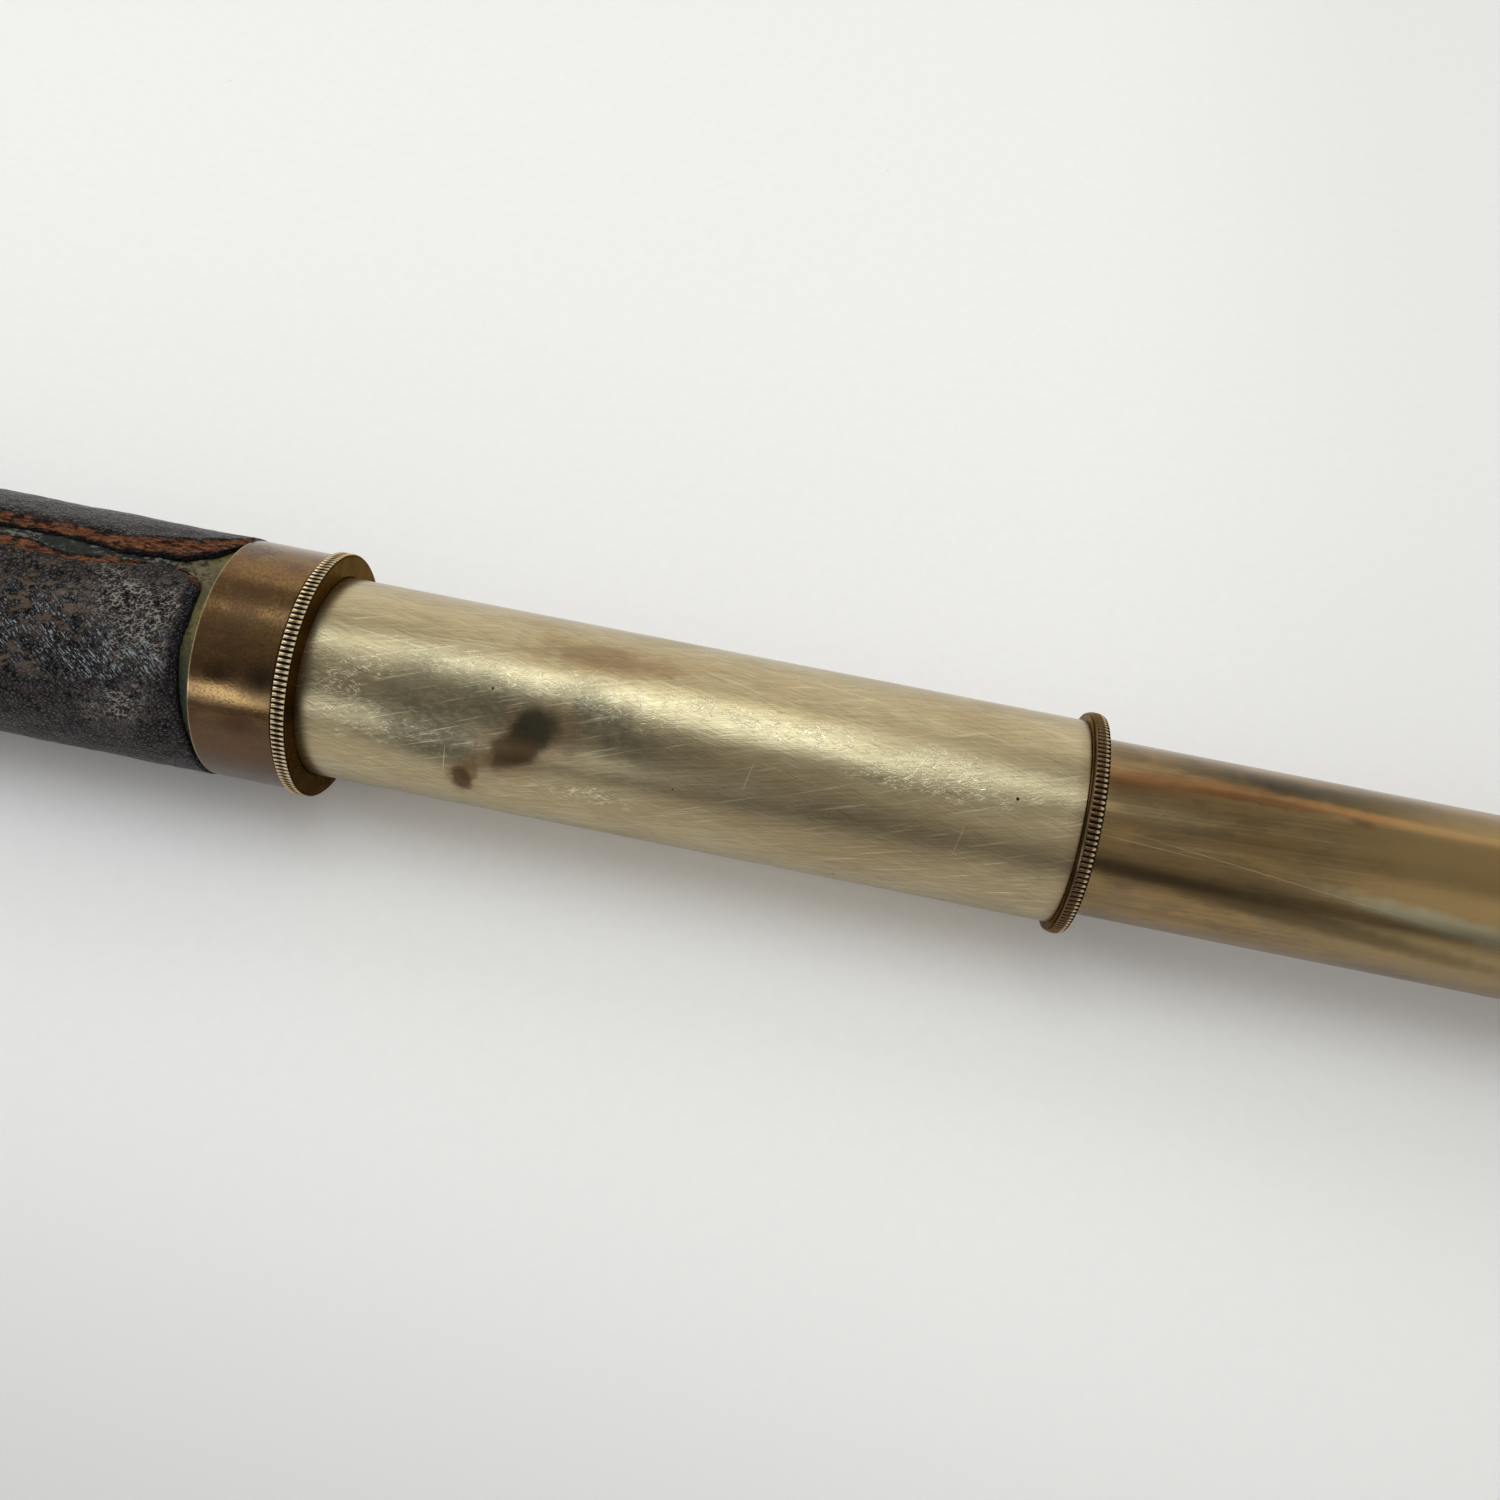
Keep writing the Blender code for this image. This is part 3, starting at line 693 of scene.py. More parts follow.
def first_draw():
    """Pale brass, rubbed bright by hand, with brush lines, stains, etched speckles, painted glints
    and shade.
    """
    look = Look("first_draw")
    r = DRAW_RADIUS
    brushed = look.noise(look.grain(8, 0.2, 0.8), detail=4, roughness=0.6)
    crossed = look.noise(look.grain(5, 0.2, -0.6), detail=3, roughness=0.6)
    hairs = look.ramp(look.noise(look.grain(9, 0.3, 1.3), detail=2), 0.6, 0.72)
    clouds = look.noise(look.grain(16, 6), detail=4)
    mottle = look.noise(look.grain(1.3, 0.9), detail=4, roughness=0.7)

    colour = look.mix(look.ramp(clouds, 0.35, 0.7), (0.5, 0.415, 0.252), (0.44, 0.35, 0.2))
    colour = look.mix(look.ramp(brushed, 0.45, 0.6, 0, 0.45), colour, (0.28, 0.22, 0.125))
    colour = look.mix(look.ramp(crossed, 0.52, 0.64, 0, 0.35), colour, (0.7, 0.61, 0.41))
    # Painted dark reflection: the bands above in brown, broken up by the brush lines.
    brown = look.times(look.spots(PAINTED_DARK_REFLECTIONS, r, 0.3, 1.8), look.ramp(brushed, 0.3, 0.6, 0.7, 1))
    colour = look.mix(look.times(brown, 0.5), colour, (0.2, 0.14, 0.075))
    # Grey blotches, which also darken the brass as a painted dark reflection below the highlight.
    grey = look.times(look.spots(GREY_BLOTCHES_AND_PAINTED_REFLECTION, r, 0.4, 1.5), look.ramp(mottle, 0.32, 0.6, 0.6, 1))
    colour = look.mix(look.times(grey, 0.85), colour, (0.105, 0.1, 0.066))
    # Painted shade: darker brass over the last few millimetres beside the barrel's milled ring.
    colour = look.mix(look.ramp(look.x, 2.6, 0.1, 0, 0.6), colour, (0.13, 0.09, 0.04))
    colour = look.mix(look.ramp(look.x, 119.3, 121.5, 0, 0.5), colour, (0.28, 0.19, 0.11))

    scratches = look.most(hairs, look.hairlines(SCRATCHES, r))
    colour = look.mix(look.times(scratches, 0.5), colour, (0.76, 0.68, 0.46))
    dull = look.ramp(look.noise(look.grain(6, 0.2, -1.1), detail=2), 0.6, 0.7)
    colour = look.mix(look.times(dull, 0.5), colour, (0.2, 0.155, 0.09))
    specks = look.spots(PITTED_PATCHES_WITH_PAINTED_GLINTS, r, 0.6, 1.2)
    dashes = [look.noise(look.grain(1.3, 0.15, twist), detail=1) for twist in (0.8, 2.4, -1.8)]
    dashes = look.ramp(look.most(*dashes), 0.62, 0.68)
    gaps = look.ramp(look.noise(look.grain(1.8, 1.2), detail=2), 0.42, 0.56)
    # Painted glints: bright flecks mixed into the colour within the pitted patches.
    glints = look.times(specks, dashes, gaps, look.less(look.times(grey, 0.6)))
    colour = look.mix(look.times(glints, 0.85), colour, (0.95, 0.89, 0.66))
    pits = look.spots([(at, (size, size), 0) for at, size in PITS], r, 0.1, 0.6)
    colour = look.mix(pits, colour, (0.04, 0.03, 0.02))
    halos = [(at, (1.5 * length, 1.5 * width), tilt) for at, (length, width), tilt, *_ in STAINS]
    halo = look.spots(halos, r, 0.6, 1.2)
    colour = look.mix(look.times(halo, 0.45), colour, (0.22, 0.11, 0.045))
    colour = look.with_stains_and_painted_light(colour, STAINS, r, 0.35, 0.75)

    look.set(
        Metallic=1.0,
        Base_Color=colour,
        Roughness=look.math("MULTIPLY_ADD", grey, 0.1, look.ramp(clouds, 0.3, 0.7, 0.26, 0.33)),
    )
    look.bump(look.add(brushed, crossed), 0.016)
    look.bump(look.times(specks, mottle), 0.03)
    look.bump(glints, -0.03)
    return look.material


def drawn_brass(name, radius):
    """Darkened draw tube: lengthwise streaks of olive and copper, painted dark reflections and a
    highlight.
    """
    look = Look(name)
    streaks = look.noise(look.grain(40, 2.4), detail=4, roughness=0.6)
    fine = look.noise(look.grain(16, 0.35, 0.2), detail=3)
    clouds = look.noise(look.grain(16, 7), detail=4)
    colour = look.mix(look.ramp(streaks, 0.35, 0.68), (0.3, 0.195, 0.088), (0.225, 0.145, 0.062))
    colour = look.mix(look.ramp(clouds, 0.42, 0.62, 0, 0.65), colour, (0.18, 0.13, 0.068))
    smears = look.noise(look.grain(7, 2.6, 0.4), detail=5, roughness=0.6)
    colour = look.mix(look.ramp(smears, 0.5, 0.57, 0, 0.5), colour, (0.15, 0.105, 0.055))
    colour = look.mix(look.ramp(fine, 0.45, 0.7, 0, 0.35), colour, (0.38, 0.27, 0.14))
    colour = look.with_stains_and_painted_light(colour, DRAW_STREAKS_AND_PAINTED_REFLECTIONS, radius, 0.2, 1.1)
    hairs = look.hairlines(DRAW_HAIRS, radius, 0.15)
    look.set(
        Metallic=1.0,
        Base_Color=look.mix(look.times(hairs, 0.3), colour, (0.6, 0.5, 0.33)),
        Roughness=look.ramp(clouds, 0.3, 0.7, 0.2, 0.28),
    )
    look.bump(look.add(fine, look.times(streaks, 0.5)), 0.005)
    return look.material


def collar_brass():
    """Browned collar: mauve tarnish, gold where it is rubbed, one black spot, etched marks on its
    top,
    and painted light: a gold highlight, shade underneath and a black line by the milled ring."""
    look = Look("collar")
    r = BARREL_RADIUS + COLLAR_RISE
    patches = look.noise(look.grain(6, 5), detail=4)
    grit = look.noise(look.grain(0.45, 0.45), detail=3, roughness=0.7)
    rubbed = look.noise(look.grain(3.5, 2.2), detail=5)
    colour = look.mix(look.ramp(patches, 0.38, 0.65), (0.24, 0.138, 0.055), (0.165, 0.092, 0.045))
    colour = look.mix(look.ramp(rubbed, 0.5, 0.72, 0, 0.5), colour, (0.32, 0.2, 0.08))
    colour = look.mix(look.ramp(grit, 0.35, 0.65, 0, 0.6), colour, (0.1, 0.06, 0.032))
    # Painted shade: the underside of the collar is darkened.
    low = look.ramp(look.toward(UP, r), 0.52, 0.34, 0, 0.75)
    colour = look.mix(low, colour, (0.09, 0.052, 0.035))
    black = look.spot(-4.6, 46, r, 6.5, 5.2, 0, 0.3, 1.6)
    smudges = look.spots(SMUDGES, r, 0.4, 1.6)
    # Painted highlight: a gold band low on the front, flecked by the grit.
    painted_gold_highlight = look.times(look.spot(-9.5, 37, r, 12, 3.6, 0, 0.4, 1.2), look.ramp(grit, 0.4, 0.55))
    colour = look.mix(look.times(painted_gold_highlight, 0.5), colour, (0.42, 0.28, 0.11))
    colour = look.mix(look.times(smudges, 0.5), colour, (0.05, 0.03, 0.022))
    colour = look.mix(look.times(black, 0.9), colour, (0.018, 0.013, 0.01))
    etched = look.spot(-12.5, 117, r, 6.5, 4, 0, 0.6, 0.9)
    etched = look.times(etched, look.ramp(look.noise(look.grain(1, 0.6), detail=3), 0.46, 0.54))
    colour = look.mix(look.times(etched, 0.85), colour, (0.045, 0.037, 0.033))
    # Painted shade: a black line at the collar's end, in the gap by the milled ring.
    colour = look.mix(look.ramp(look.x, -2.75, -2.5), colour, (0.02, 0.013, 0.008))
    edge = look.times(look.ramp(look.x, -15.4, -15.55), look.ramp(grit, 0.3, 0.5))
    colour = look.mix(look.times(edge, 0.45), colour, (0.5, 0.36, 0.18))
    look.set(
        Metallic=1.0,
        Base_Color=colour,
        Roughness=look.math("MULTIPLY_ADD", black, 0.2, look.ramp(patches, 0.3, 0.7, 0.14, 0.22)),
    )
    look.bump(grit, 0.02)
    look.bump(etched, -0.03)
    return look.material


def milled_brass(node, crest, face):
    """A milled ring: bright on the teeth, with painted glints at their ends, dark between them, and
    with plain faces."""
    look = Look("milled_" + node)
    low, high, rim = rim_of(node)
    patches = look.noise(look.grain(3, 3), detail=4)
    worn = look.math("MULTIPLY_ADD", look.math("SUBTRACT", patches, 0.5), 0.1, look.radius)
    between = look.ramp(worn, rim - 0.65 * TOOTH_DEPTH, rim - 0.2 * TOOTH_DEPTH)
    # Painted glints at the ends of the teeth, on the crests only.
    far, near = TOOTH_GLINT_REACH
    end = look.ramp(look.x, high - far, high - near)
    if node in RIM_HOLLOW:
        end = look.most(end, look.ramp(look.x, low + far, low + near))
    end = look.times(end, look.ramp(look.radius, rim - 0.5, rim - 0.28), between)
    teeth = look.mix(between, (0.01, 0.007, 0.005), crest)
    teeth = look.mix(look.times(end, 0.8), teeth, (0.75, 0.6, 0.38))
    rings = look.noise(look.math("MULTIPLY", look.radius, 9), 1, 2)
    colour = look.mix(look.ramp(patches, 0.35, 0.7), face, tuple(0.6 * c for c in face))
    on_rim = look.ramp(look.radius, rim - 0.62, rim - 0.5)
    look.set(
        Metallic=1.0,
        Base_Color=look.mix(on_rim, colour, teeth),
        Roughness=look.ramp(patches, 0.3, 0.7, 0.2, 0.3),
        Specular_Tint=(0.75, 0.6, 0.45, 1),
    )
    look.bump(rings, 0.004)
    return look.material


def bare_barrel():
    """The brass tube under the leather: black crust and verdigris in the tear, the crust's black
    partly painted shade of the gap, and green by the collar, painted olive on top and near black
    underneath."""
    look = Look("bare_barrel")
    crumbs = look.noise(look.grain(0.9, 0.7), detail=5, roughness=0.7)
    clouds = look.noise(look.grain(5, 2.5), detail=4)
    # A black crust, kept near black partly as painted shade of the gap under the flap.
    colour = look.mix(look.ramp(crumbs, 0.42, 0.6), (0.003, 0.003, 0.003), (0.016, 0.017, 0.012))
    powder = look.times(look.ramp(clouds, 0.48, 0.58), look.ramp(crumbs, 0.45, 0.56))
    colour = look.mix(powder, colour, (0.15, 0.165, 0.13))
    glue = look.mix(look.ramp(crumbs, 0.44, 0.56), (0.022, 0.02, 0.01), (0.15, 0.115, 0.06))
    near = look.ramp(look.math("MULTIPLY_ADD", clouds, 4, look.x), -23.5, -18.5)
    colour = look.mix(near, colour, glue)

    # Painted light and shade: the band by the collar is painted olive on top and near black
    # underneath.
    up = look.toward(UP, BARREL_RADIUS)
    band = look.mix(look.ramp(up, 0.6, 0.99), (0.008, 0.014, 0.005), (0.15, 0.125, 0.025))
    band = look.mix(look.ramp(crumbs, 0.46, 0.58, 0, 0.8), band, (0.03, 0.036, 0.01))
    foot = look.ramp(look.x, -16.4, -15.75)
    band = look.mix(look.times(foot, look.ramp(up, 0.1, 0.9, 0.25, 0.85)), band, (0.2, 0.17, 0.06))
    on_band = look.times(look.ramp(look.x, -18.6, -17.9), look.ramp(up, 1.02, 0.96))
    look.set(
        Base_Color=look.mix(on_band, colour, band),
        Metallic=0.2,
        Roughness=look.math("SUBTRACT", 0.85, look.times(on_band, 0.45)),
    )
    look.bump(crumbs, 0.14)
    return look.material


def worn_leather():
    """Dark grained leather, scuffed and dusty, with painted glints and painted shade, and orange
    flesh where the grain is torn away.
    """
    look = Look("worn_leather")
    torn, rim = look.layer("torn"), look.layer("rim")
    r = LEATHER_RADIUS
    warp = look.noise(look.grain(1.1, 1.1), detail=3)
    shift = look.vector("SCALE", (1, 1, 1), Scale=warp)
    wavy = look.vector("ADD", look.grain(0.85, 0.55, 0.9), shift)
    edges = look.cells(wavy, "DISTANCE_TO_EDGE")
    pebble = look.ramp(edges, 0.0, 0.45)
    wrinkle = look.noise(look.grain(2.6, 0.5, -1.6), detail=3)
    scuffs = look.noise(look.grain(3.2, 2.0), detail=5, roughness=0.65)
    mottle = look.noise(look.grain(1.1, 0.8), detail=4, roughness=0.7)

    colour = look.mix(look.ramp(scuffs, 0.4, 0.6), (0.002, 0.002, 0.002), (0.02, 0.013, 0.013))
    fibres = look.noise(look.grain(1.1, 0.22, -2.2), detail=3, roughness=0.65)
    fibres = look.times(look.ramp(fibres, 0.52, 0.62), look.ramp(mottle, 0.46, 0.6))
    colour = look.mix(look.times(fibres, 0.5), colour, (0.085, 0.07, 0.068))
    patches = look.ramp(look.noise(look.grain(2.6, 1.5, 0.5), detail=4, roughness=0.65), 0.5, 0.54)
    bared = look.times(look.spots(BARED, r, 0.5, 1.2), patches)
    colour = look.mix(look.times(bared, 0.9), colour, (0.1, 0.07, 0.053))
    low = look.ramp(look.toward(UP, r), 0.5, 0.1)
    back = look.ramp(look.toward((0, 1, 0), r), 0.1, 0.4)
    wisps = look.times(look.ramp(wrinkle, 0.5, 0.6), look.ramp(scuffs, 0.42, 0.55))
    wisps = look.times(wisps, look.most(low, look.times(back, 0.6)))
    colour = look.mix(look.times(wisps, 0.2), colour, (0.12, 0.1, 0.09))
    crackled = look.times(look.spots(CRACKLED, r, 0.7, 1.6), look.less(rim))
    network = look.times(crackled, look.ramp(edges, 0.16, 0.04), look.ramp(mottle, 0.42, 0.55))
    colour = look.mix(look.times(network, 0.85), colour, (0.3, 0.265, 0.235))
    # Painted glints: bluish highlight flecks on the grain.
    glint_zone = look.times(look.spots(PAINTED_GLINT_ZONES, r, 0.6, 1.5), look.less(bared))
    glint_flecks = look.noise(look.grain(0.75, 0.32, -2.6), detail=2)
    painted_glints = look.times(glint_zone, look.ramp(glint_flecks, 0.58, 0.62), look.ramp(scuffs, 0.42, 0.5))
    colour = look.mix(look.times(painted_glints, 0.85), colour, (0.3, 0.38, 0.43))
    # Painted shade: the leather's end by the collar is darkened to near black.
    colour = look.mix(look.times(rim, 0.8), colour, (0.006, 0.005, 0.006))

    strands = look.noise(look.grain(1.5, 0.4, 0.5), detail=5, roughness=0.75)
    flesh = look.mix(look.ramp(strands, 0.38, 0.6), (0.03, 0.011, 0.006), (0.25, 0.095, 0.04))
    fuzz = look.noise(look.grain(0.5, 0.25, -3), detail=3, roughness=0.7)
    flesh = look.mix(look.ramp(fuzz, 0.45, 0.6, 0, 0.6), flesh, (0.1, 0.042, 0.022))
    crevices = look.ramp(look.noise(look.grain(2.2, 0.9), detail=3), 0.5, 0.6)
    flesh = look.mix(look.times(crevices, 0.9), flesh, (0.01, 0.006, 0.005))
    # Painted shade: the flesh goes near black towards the seam's gap, and on the torn edges' walls.
    flesh = look.mix(look.ramp(torn, 0.82, 0.97), flesh, (0.006, 0.004, 0.004))
    open_flesh = look.ramp(look.math("MULTIPLY_ADD", scuffs, 0.2, torn), 0.18, 0.28)
    dull = look.most(open_flesh, look.times(bared, 0.8), look.times(crackled, 0.5))
    sheen = look.times(pebble, look.ramp(fuzz, 0.35, 0.6, 0.3, 1))
    look.set(
        Base_Color=look.mix(open_flesh, colour, flesh),
        Roughness=look.ramp(dull, 0, 1, 0.25, 0.9),
        Specular_IOR_Level=look.ramp(sheen, 0.08, 0.36, 0.04, 0.36),
    )
    smooth = look.less(look.most(open_flesh, look.times(bared, 0.8), look.times(rim, 0.7)))
    look.bump(look.times(pebble, smooth), 0.22)
    look.bump(look.times(wrinkle, smooth), 0.1)
    look.bump(look.times(mottle, smooth), 0.12)
    look.bump(look.times(strands, open_flesh), 0.4)
    return look.material


def clear_glass():
    look = Look("optical_glass")
    look.set(
        Base_Color=(0.93, 0.97, 0.95, 1),
        Roughness=0.015,
        IOR=1.52,
        Transmission_Weight=1.0,
    )
    return look.material


def make_looks():
    """The materials by record slot, and by node where a node has its own."""
    brown = (0.2, 0.12, 0.055)
    looks = {
        "browned_brass": plain_brass("browned_brass", brown, (0.1, 0.058, 0.03), 0.22),
        "bright_brass": plain_brass("bright_brass", (0.5, 0.42, 0.25), (0.34, 0.26, 0.14), 0.3),
        "aged_brass": plain_brass("aged_brass", (0.3, 0.215, 0.115), (0.18, 0.12, 0.06), 0.26),
        "blackened_brass": plain_brass(
            "blackened_brass", (0.03, 0.027, 0.025), (0.015, 0.013, 0.012), 0.55, metallic=0.4
        ),
        "leather": worn_leather(),
        "optical_glass": clear_glass(),
        "draw_1_tube": first_draw(),
        "barrel_tube": bare_barrel(),
        "barrel_ferrule": collar_brass(),
    }
    for number in (2, 3):
        radius = outline_radius(f"draw_{number}_tube")
        looks[f"draw_{number}_tube"] = drawn_brass(f"draw_{number}", radius)
    for node in TEETH:
        if node == "barrel_guide_ring":
            crest, face = (0.42, 0.31, 0.18), (0.062, 0.041, 0.027)
        else:
            crest, face = (0.14, 0.085, 0.045), (0.045, 0.028, 0.017)
        looks[node] = milled_brass(node, crest, face)
    return looks


# ---- Light and camera ---------------------------------------------------------------------------


def sight_frame():
    """Axes of the view square to the telescope: along the axis, up the picture, towards the eye."""
    c, s = math.cos(CAMERA_ELEVATION), math.sin(CAMERA_ELEVATION)
    return Matrix(((1, 0, 0), (0, s, c), (0, -c, s))).transposed()


def place_camera():
    frame = sight_frame()
    turn = (
        Matrix.Rotation(CAMERA_YAW, 3, "Y")
        @ Matrix.Rotation(CAMERA_PITCH, 3, "X")
        @ Matrix.Rotation(CAMERA_ROLL, 3, "Z")
    )
    camera = bpy.data.objects.new("camera", bpy.data.cameras.new("camera"))
    foot = Vector((CAMERA_FOOT, 0, ORIGIN.z))
    position = foot + frame.col[2] * CAMERA_DISTANCE
    camera.matrix_world = Matrix.Translation(position) @ (frame @ turn).to_4x4()
    camera.data.lens = CAMERA_LENS
    camera.data.sensor_width = 36
    camera.data.clip_start = 0.01
    bpy.context.scene.collection.objects.link(camera)
    bpy.context.scene.camera = camera


def area_light(name, centre, length_axis, size, radiance, colour, target=None):
    """A rectangular light that faces target, or straight down, its first side along length_axis."""
    data = bpy.data.lights.new(name, "AREA")
    data.shape = "RECTANGLE"
    data.size, data.size_y = size
    data.color = colour
    data.energy = radiance * math.pi * size[0] * size[1]
    light = bpy.data.objects.new(name, data)
    centre = Vector(centre)
    back = (centre - Vector(target)).normalized() if target else Vector(UP)
    first = Vector(length_axis)
    first = (first - back * first.dot(back)).normalized()
    second = back.cross(first)
    turn = Matrix((first, second, back)).transposed()
    light.matrix_world = Matrix.Translation(centre) @ turn.to_4x4()
    bpy.context.scene.collection.objects.link(light)


def light_room():
    """A cool window and a warm lamp above, a low light in front, and a grey room with a bright left
    wall, paler walls at the right and the back, and a glow high in front."""
    foot = Vector((CAMERA_FOOT, 0, 0))
    start, end = (foot + Vector(place) for place in WINDOW_ENDS)
    size = ((end - start).length, WINDOW_WIDTH)
    area_light("window", (start + end) / 2, end - start, size, 2.5, (0.84, 0.95, 1))
    lamp = foot + Vector(LAMP_PLACE)
    area_light("lamp", lamp, FORWARD, LAMP_SIZE, 1.8, (1, 0.95, 0.8))
    collar = ORIGIN + Vector((-0.01, 0, 0))
    low = collar + Vector(LOW_LIGHT_PLACE)
    area_light("low", low, FORWARD, LOW_LIGHT_SIZE, 2.6, (0.86, 0.93, 1), collar)

    world = bpy.data.worlds.new("room")
    world.use_nodes = True
    bpy.context.scene.world = world
    sky = Graph(world.node_tree)
    direction = sky.nodes.new("ShaderNodeTexCoord").outputs["Generated"]
    backward = sky.vector("DOT_PRODUCT", direction, (0, 0.766, 0.643))
    shade = sky.ramp(backward, -0.5, 0.9, 0.12, 0.42)
    wall = sky.vector("DOT_PRODUCT", direction, (0, 0.95, 0.31))
    front = sky.vector("DOT_PRODUCT", direction, (0.35, -0.72, 0.6))
    across = sky.vector("DOT_PRODUCT", direction, FORWARD)
    shade = sky.add(shade, sky.ramp(wall, 0.79, 0.82, 0, 0.6), sky.ramp(front, 0.86, 1, 0, 0.5))
    left = sky.ramp(across, -0.5, -0.75, 0, 2.0)
    right = sky.ramp(across, 0.5, 0.75, 0, 1.0)
    shade = sky.most(shade, left, right)
    background = world.node_tree.nodes["Background"]
    background.inputs["Color"].default_value = (1, 0.975, 0.92, 1)
    sky.plug(shade, background.inputs["Strength"])


def lay_paper():
    """White paper under the telescope, with painted shade that greys it in front and to the right,
    and with a fine grain and a few faint specks. It is staging, not a piece."""
    look = Look("paper")
    fibre = look.noise(look.point, 0.4, 4)
    # Painted shade: the paper greys in front of the telescope and towards the right.
    near = look.toward((-0.05, -1, 0))
    colour = look.mix(look.ramp(near, 40, 165), (0.935, 0.93, 0.94), (0.59, 0.59, 0.595))
    colour = look.mix(look.ramp(look.x, 10, 110, 0, 0.25), colour, (0.68, 0.68, 0.685))
    colour = look.mix(look.ramp(fibre, 0.3, 0.7, 0, 0.06), colour, (0.7, 0.7, 0.72))
    specks = look.ramp(look.cells(look.point, scale=0.045), 0.018, 0.01)
    specks = look.times(specks, look.ramp(look.noise(look.point, 0.02, 2), 0.5, 0.6))
    look.set(Base_Color=look.mix(look.times(specks, 0.35), colour, (0.4, 0.4, 0.42)), Roughness=0.8)
    mesh = bpy.data.meshes.new("paper")
    signs = ((-1, -1), (1, -1), (1, 1), (-1, 1))
    corners = [(PAPER_REACH * x, PAPER_REACH * y, 0) for x, y in signs]
    mesh.from_pydata(corners, [], [(0, 1, 2, 3)])
    mesh.materials.append(look.material)
    paper = bpy.data.objects.new("paper", mesh)
    paper.location.z = -PAPER_DEPTH
    bpy.context.scene.collection.objects.link(paper)


# ---- The telescope ------------------------------------------------------------------------------


def turn_node(node, shape=None, segments=SEGMENTS, longest=COARSE, inner=0.0):
    """Rebuilds a turned CAD node as a fine lathed piece with eased edges. Outside the radius inner,
    its faces are at most longest millimetres long."""
    outline, closed = outline_of(node, CAD_SIDES)
    fine = divided(eased(outline, closed, EDGE_RADIUS), closed, longest, inner)
    body = FRAME["nodes"][node]["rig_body"]
    look = LOOKS.get(node) or LOOKS[SLOTS[node]]
    piece = lathe(node + "_fine", fine, closed, segments, body, look, shape)
    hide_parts(node)
    return piece


def outline_radius(node):
    """The largest radius of a turned CAD node."""
    return max(radius for _, radius in outline_of(node, CAD_SIDES)[0])


def rim_of(node):
    """Where a node's widest band starts and ends, and its radius, in millimetres."""
    outline, _ = outline_of(node, CAD_SIDES)
    widest = max(radius for _, radius in outline)
    band = [x for x, radius in outline if radius > widest - RIM_CHAMFER]
    return min(band), max(band), widest


def build_milled(node):
    low, high, rim = rim_of(node)
    teeth = TEETH[node]
    hollow = RIM_HOLLOW.get(node, 0)
    shape = milled(teeth, low, high, rim, hollow, 0 if hollow else RIM_BEAD)
    return turn_node(node, shape, teeth * TOOTH_STEPS, TOOTH_ROWS, rim - 0.6)


def dented(x, angle, radius):
    """The first draw's outer wall, pressed in by a few shallow dents."""
    outer = DRAW_RADIUS - DRAW_WALL / 2
    depth = np.zeros_like(radius)
    for at, toward, length, width, deep in DENTS:
        swing = (angle - math.radians(toward) + math.pi) % math.tau - math.pi
        reach = ((x - at) * 2 / length) ** 2 + (swing * DRAW_RADIUS * 2 / width) ** 2
        depth += deep * np.exp(-1.2 * reach)
    return np.where(radius > outer, radius - depth, radius)


def leather_columns():
    """Places round the leather from 0 at the tear's upper edge to 1 at its lower edge."""
    visible = np.linspace(0, 0.15, 42)[:-1]
    back = np.linspace(0.15, 0.6, 100)[:-1]
    front = np.linspace(0.6, 1, 150)
    return np.concatenate([visible, back, front])


def leather_rows():
    """Places along the leather from 0 at the objective end to 1 at the milled ring's end."""
    far = np.linspace(0, 0.68, 130)[:-1]
    return np.concatenate([far, np.linspace(0.68, 1, 130)])


def torn_share(x, degrees, high, low, fray):
    """1 where the grain is torn off beside the seam and the flesh shows, 0 where it is whole.
    high and low are the angles of the seam's edges, and fray makes the torn parts ragged."""
    high_grain = along(HIGH_GRAIN, x) + TEAR_BLEND
    high_torn = 1 - unit(degrees + fray, high, high_grain)
    high_torn = np.where(degrees < high_grain + fray, high_torn, 0)
    low_grain = along(LOW_GRAIN, x) + 360
    low_torn = unit(degrees + fray, low_grain - TEAR_BLEND, low) * (low_grain < low - 0.5)
    return np.clip(high_torn + low_torn, 0, 1)


def with_walls(points, feet):
    """The points and faces of a sheet whose border has walls down to its feet, and the border."""
    rows, columns = points.shape[:2]
    grid = np.arange(rows * columns).reshape(rows, columns)
    border = np.concatenate([grid[0, :-1], grid[:-1, -1], grid[-1, :0:-1], grid[:0:-1, 0]])
    below = grid.size + np.arange(border.size)
    walls = np.stack([border, below, np.roll(below, -1), np.roll(border, -1)], 1)
    faces = np.concatenate([grid_faces(rows, columns, False, False), walls])
    return np.concatenate([points.reshape(-1, 3), feet.reshape(-1, 3)[border]]), faces, border


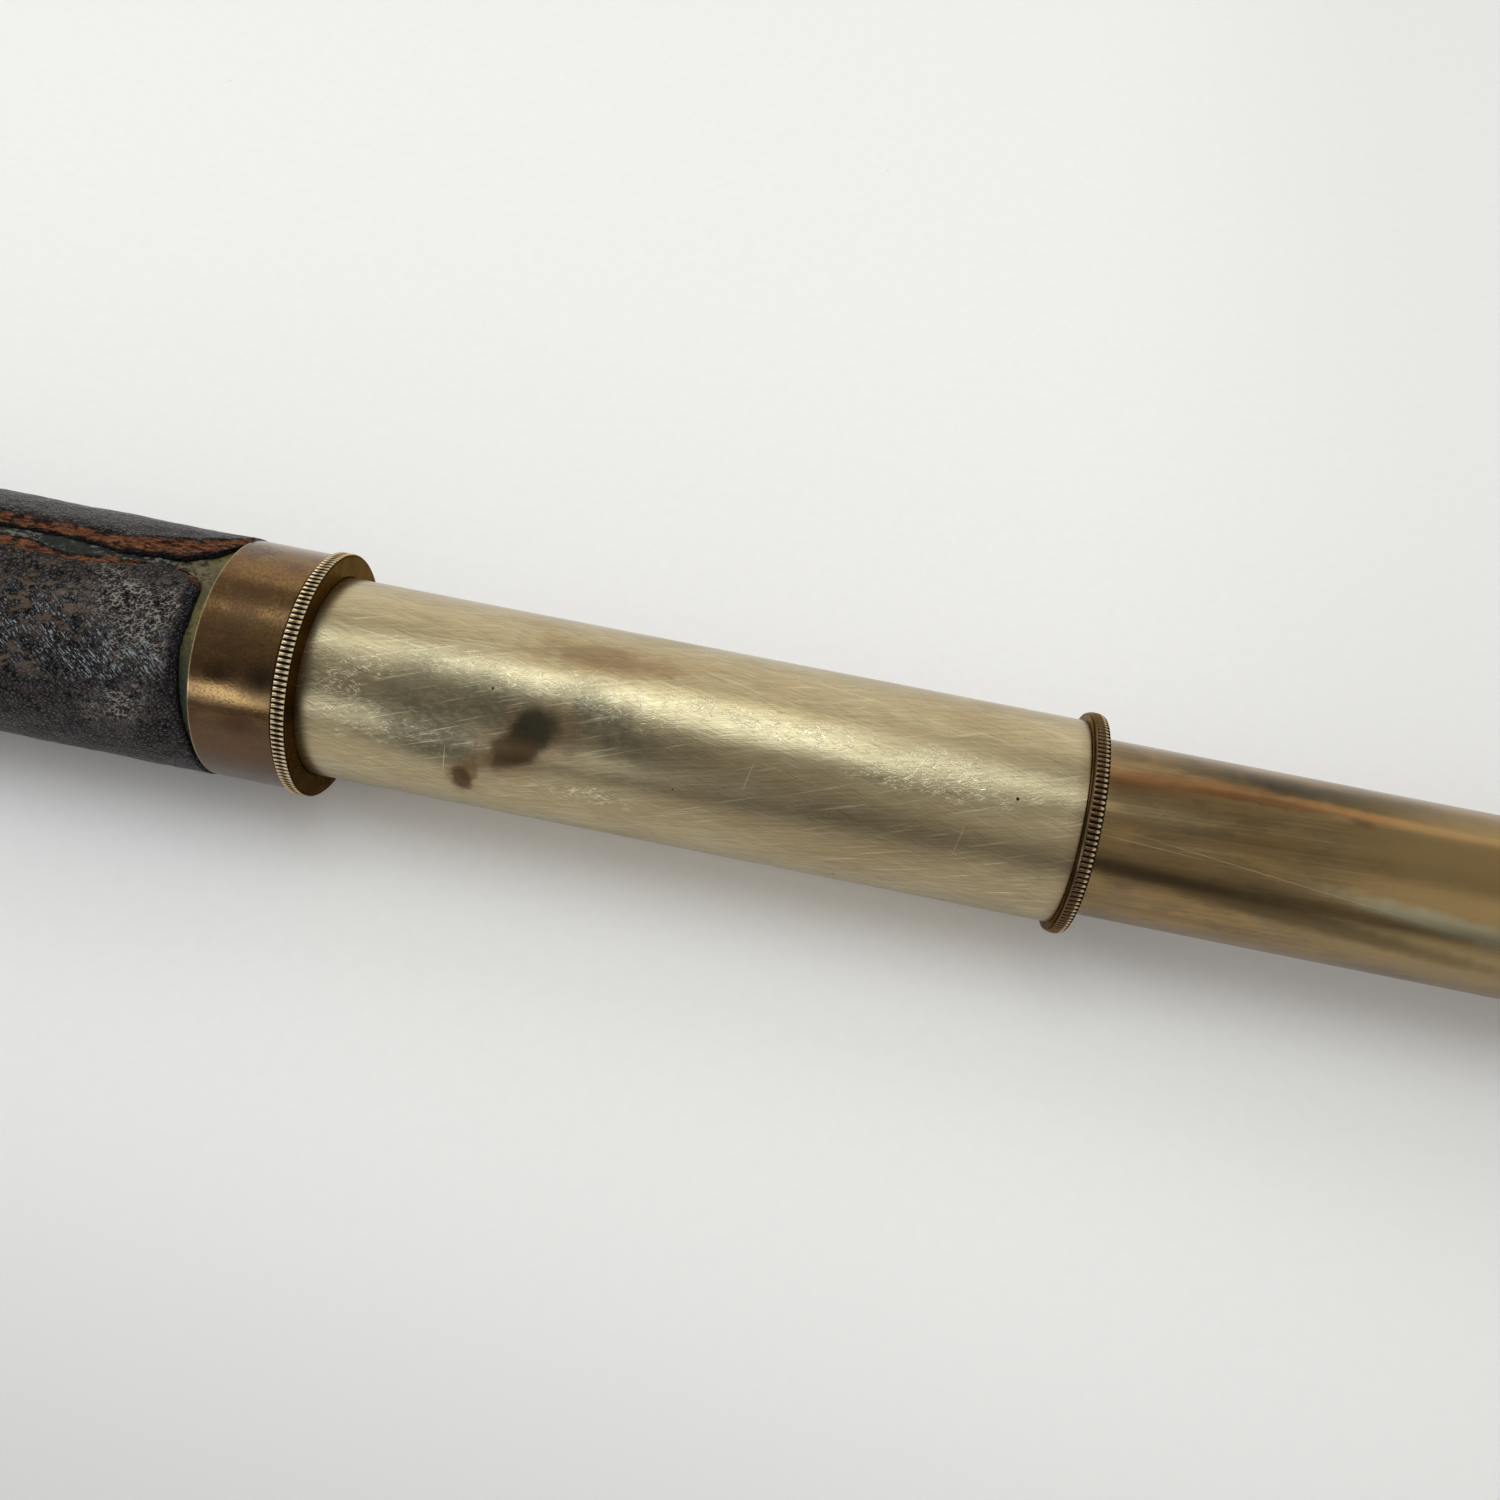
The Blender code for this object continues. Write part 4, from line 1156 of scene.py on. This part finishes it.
def build_leather():
    """The leather as a sheet wrapped round the barrel, with its two torn edges along the seam."""
    start = (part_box("leather_cover")[0].x - ORIGIN.x) / MM
    thick = LEATHER_RADIUS - BARREL_RADIUS
    u, v = np.meshgrid(leather_rows(), leather_columns(), indexing="ij")
    nominal = SHEET_START + SHEET_SWEEP * v
    swing = np.where(nominal > 300, nominal - 360, nominal)
    end = along(LEATHER_END, swing)
    line = wrapped(end, np.radians(nominal), np.full_like(end, LEATHER_RADIUS))
    end = end + 0.14 * field_noise(line, 1.1)
    x = start + (end - start) * u

    jag = np.stack([x, np.zeros_like(x), np.where(v > 0.5, 40.0, 0.0)], -1)
    jag = 0.9 * field_noise(jag, 2.3, 3) + 0.5 * field_noise(jag, 0.7)
    torn_open = unit(x, *SEAM_OPENS)
    high = along(HIGH_EDGE, x) + jag * torn_open
    low = along(LOW_EDGE, x) + 360 + jag * torn_open
    degrees = high + (low - high) * v
    angle = np.radians(degrees)

    points = wrapped(x, angle, np.full_like(x, LEATHER_RADIUS))
    fray = 1.6 * field_noise(points, 1.6, 3) * torn_open
    torn = torn_share(x, degrees, high, low, fray)

    lumps = 0.16 * field_noise(points, 7) + 0.07 * field_noise(points * (0.6, 1, 1), 1.7)
    fibres = 0.12 * field_noise(points * (0.25, 1, 1), 0.5, 3)
    close = np.minimum(degrees - high, low - degrees)
    curl = CURL * np.exp(-(((close - 9) / 7) ** 2)) * torn_open
    flap = CURL * unit(x, *FLAP_RISES) * np.exp(-(close / 12)) * (v < 0.5)
    rim = unit(x - end, *RIM_BAND)
    surface = LEATHER_RADIUS - GRAIN_DEPTH + lumps * (1 - rim) + curl * (1 - torn) + flap
    flesh = LEATHER_RADIUS - FLESH_DEPTH - 0.35 * torn + fibres + flap
    radius = surface + (flesh - surface) * unit(torn, 0.05, 0.25)
    radius = radius - END_DROP * unit(x - end, -0.35, 0) ** 2
    ending = (u == 1) | (u == 0) | (v == 0) | (v == 1)
    radius = np.where(ending, radius - BORDER_DROP * thick, radius)

    points = wrapped(x, angle, radius)
    feet = wrapped(x, angle, np.full_like(radius, BARREL_RADIUS - WALL_SINK))
    points, faces, border = with_walls(points, feet)
    layers = {
        # The walls along the torn edges take the full torn share, so they get the flesh's painted
        # shade.
        "torn": np.concatenate([torn.ravel(), torn.ravel()[border] > 0.02]),
        "rim": np.concatenate([rim.ravel(), rim.ravel()[border]]),
    }
    piece = new_piece("leather_cover_fine", points, faces, "barrel", LOOKS["leather"], layers)
    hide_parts("leather_cover")


def keep_node(node):
    """Gives a CAD mesh its material, and rounds its edges where it shows."""
    kept = FRAME["nodes"][node]
    kept.data.materials.clear()
    kept.data.materials.append(LOOKS[SLOTS[node]])
    if node in SHUTTER_NODES:
        weld = kept.modifiers.new("weld", "WELD")
        weld.merge_threshold = 0.001 * MM
        bevel = kept.modifiers.new("edges", "BEVEL")
        bevel.width = SHUTTER_EDGE * MM
        bevel.segments = 3
        bevel.limit_method = "ANGLE"
        bevel.angle_limit = math.radians(30)
        bevel.harden_normals = True


def build_telescope():
    for node in FRAME["nodes"]:
        if node in TEETH:
            build_milled(node)
        elif node == "leather_cover":
            build_leather()
        elif node == "draw_1_tube":
            turn_node(node, dented, DRAW_SEGMENTS, DRAW_ROWS, DRAW_RADIUS - DRAW_WALL)
        elif node in HIDDEN_NODES or node in SHUTTER_NODES:
            keep_node(node)
        else:
            turn_node(node)


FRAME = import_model()
SLOTS = {part["node"]: part["material_slot"] for part in FRAME["record"]["subparts"]}
ring_low, ring_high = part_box("barrel_guide_ring")
ORIGIN = Vector((ring_high.x, 0, (ring_low.z + ring_high.z) / 2))
DRAW_RADIUS = outline_radius("draw_1_tube")
LEATHER_RADIUS = outline_radius("leather_cover")
BARREL_RADIUS = outline_radius("barrel_tube")

bpy.context.scene.view_settings.view_transform = "Standard"
place_camera()
light_room()
lay_paper()
LOOKS = make_looks()
build_telescope()
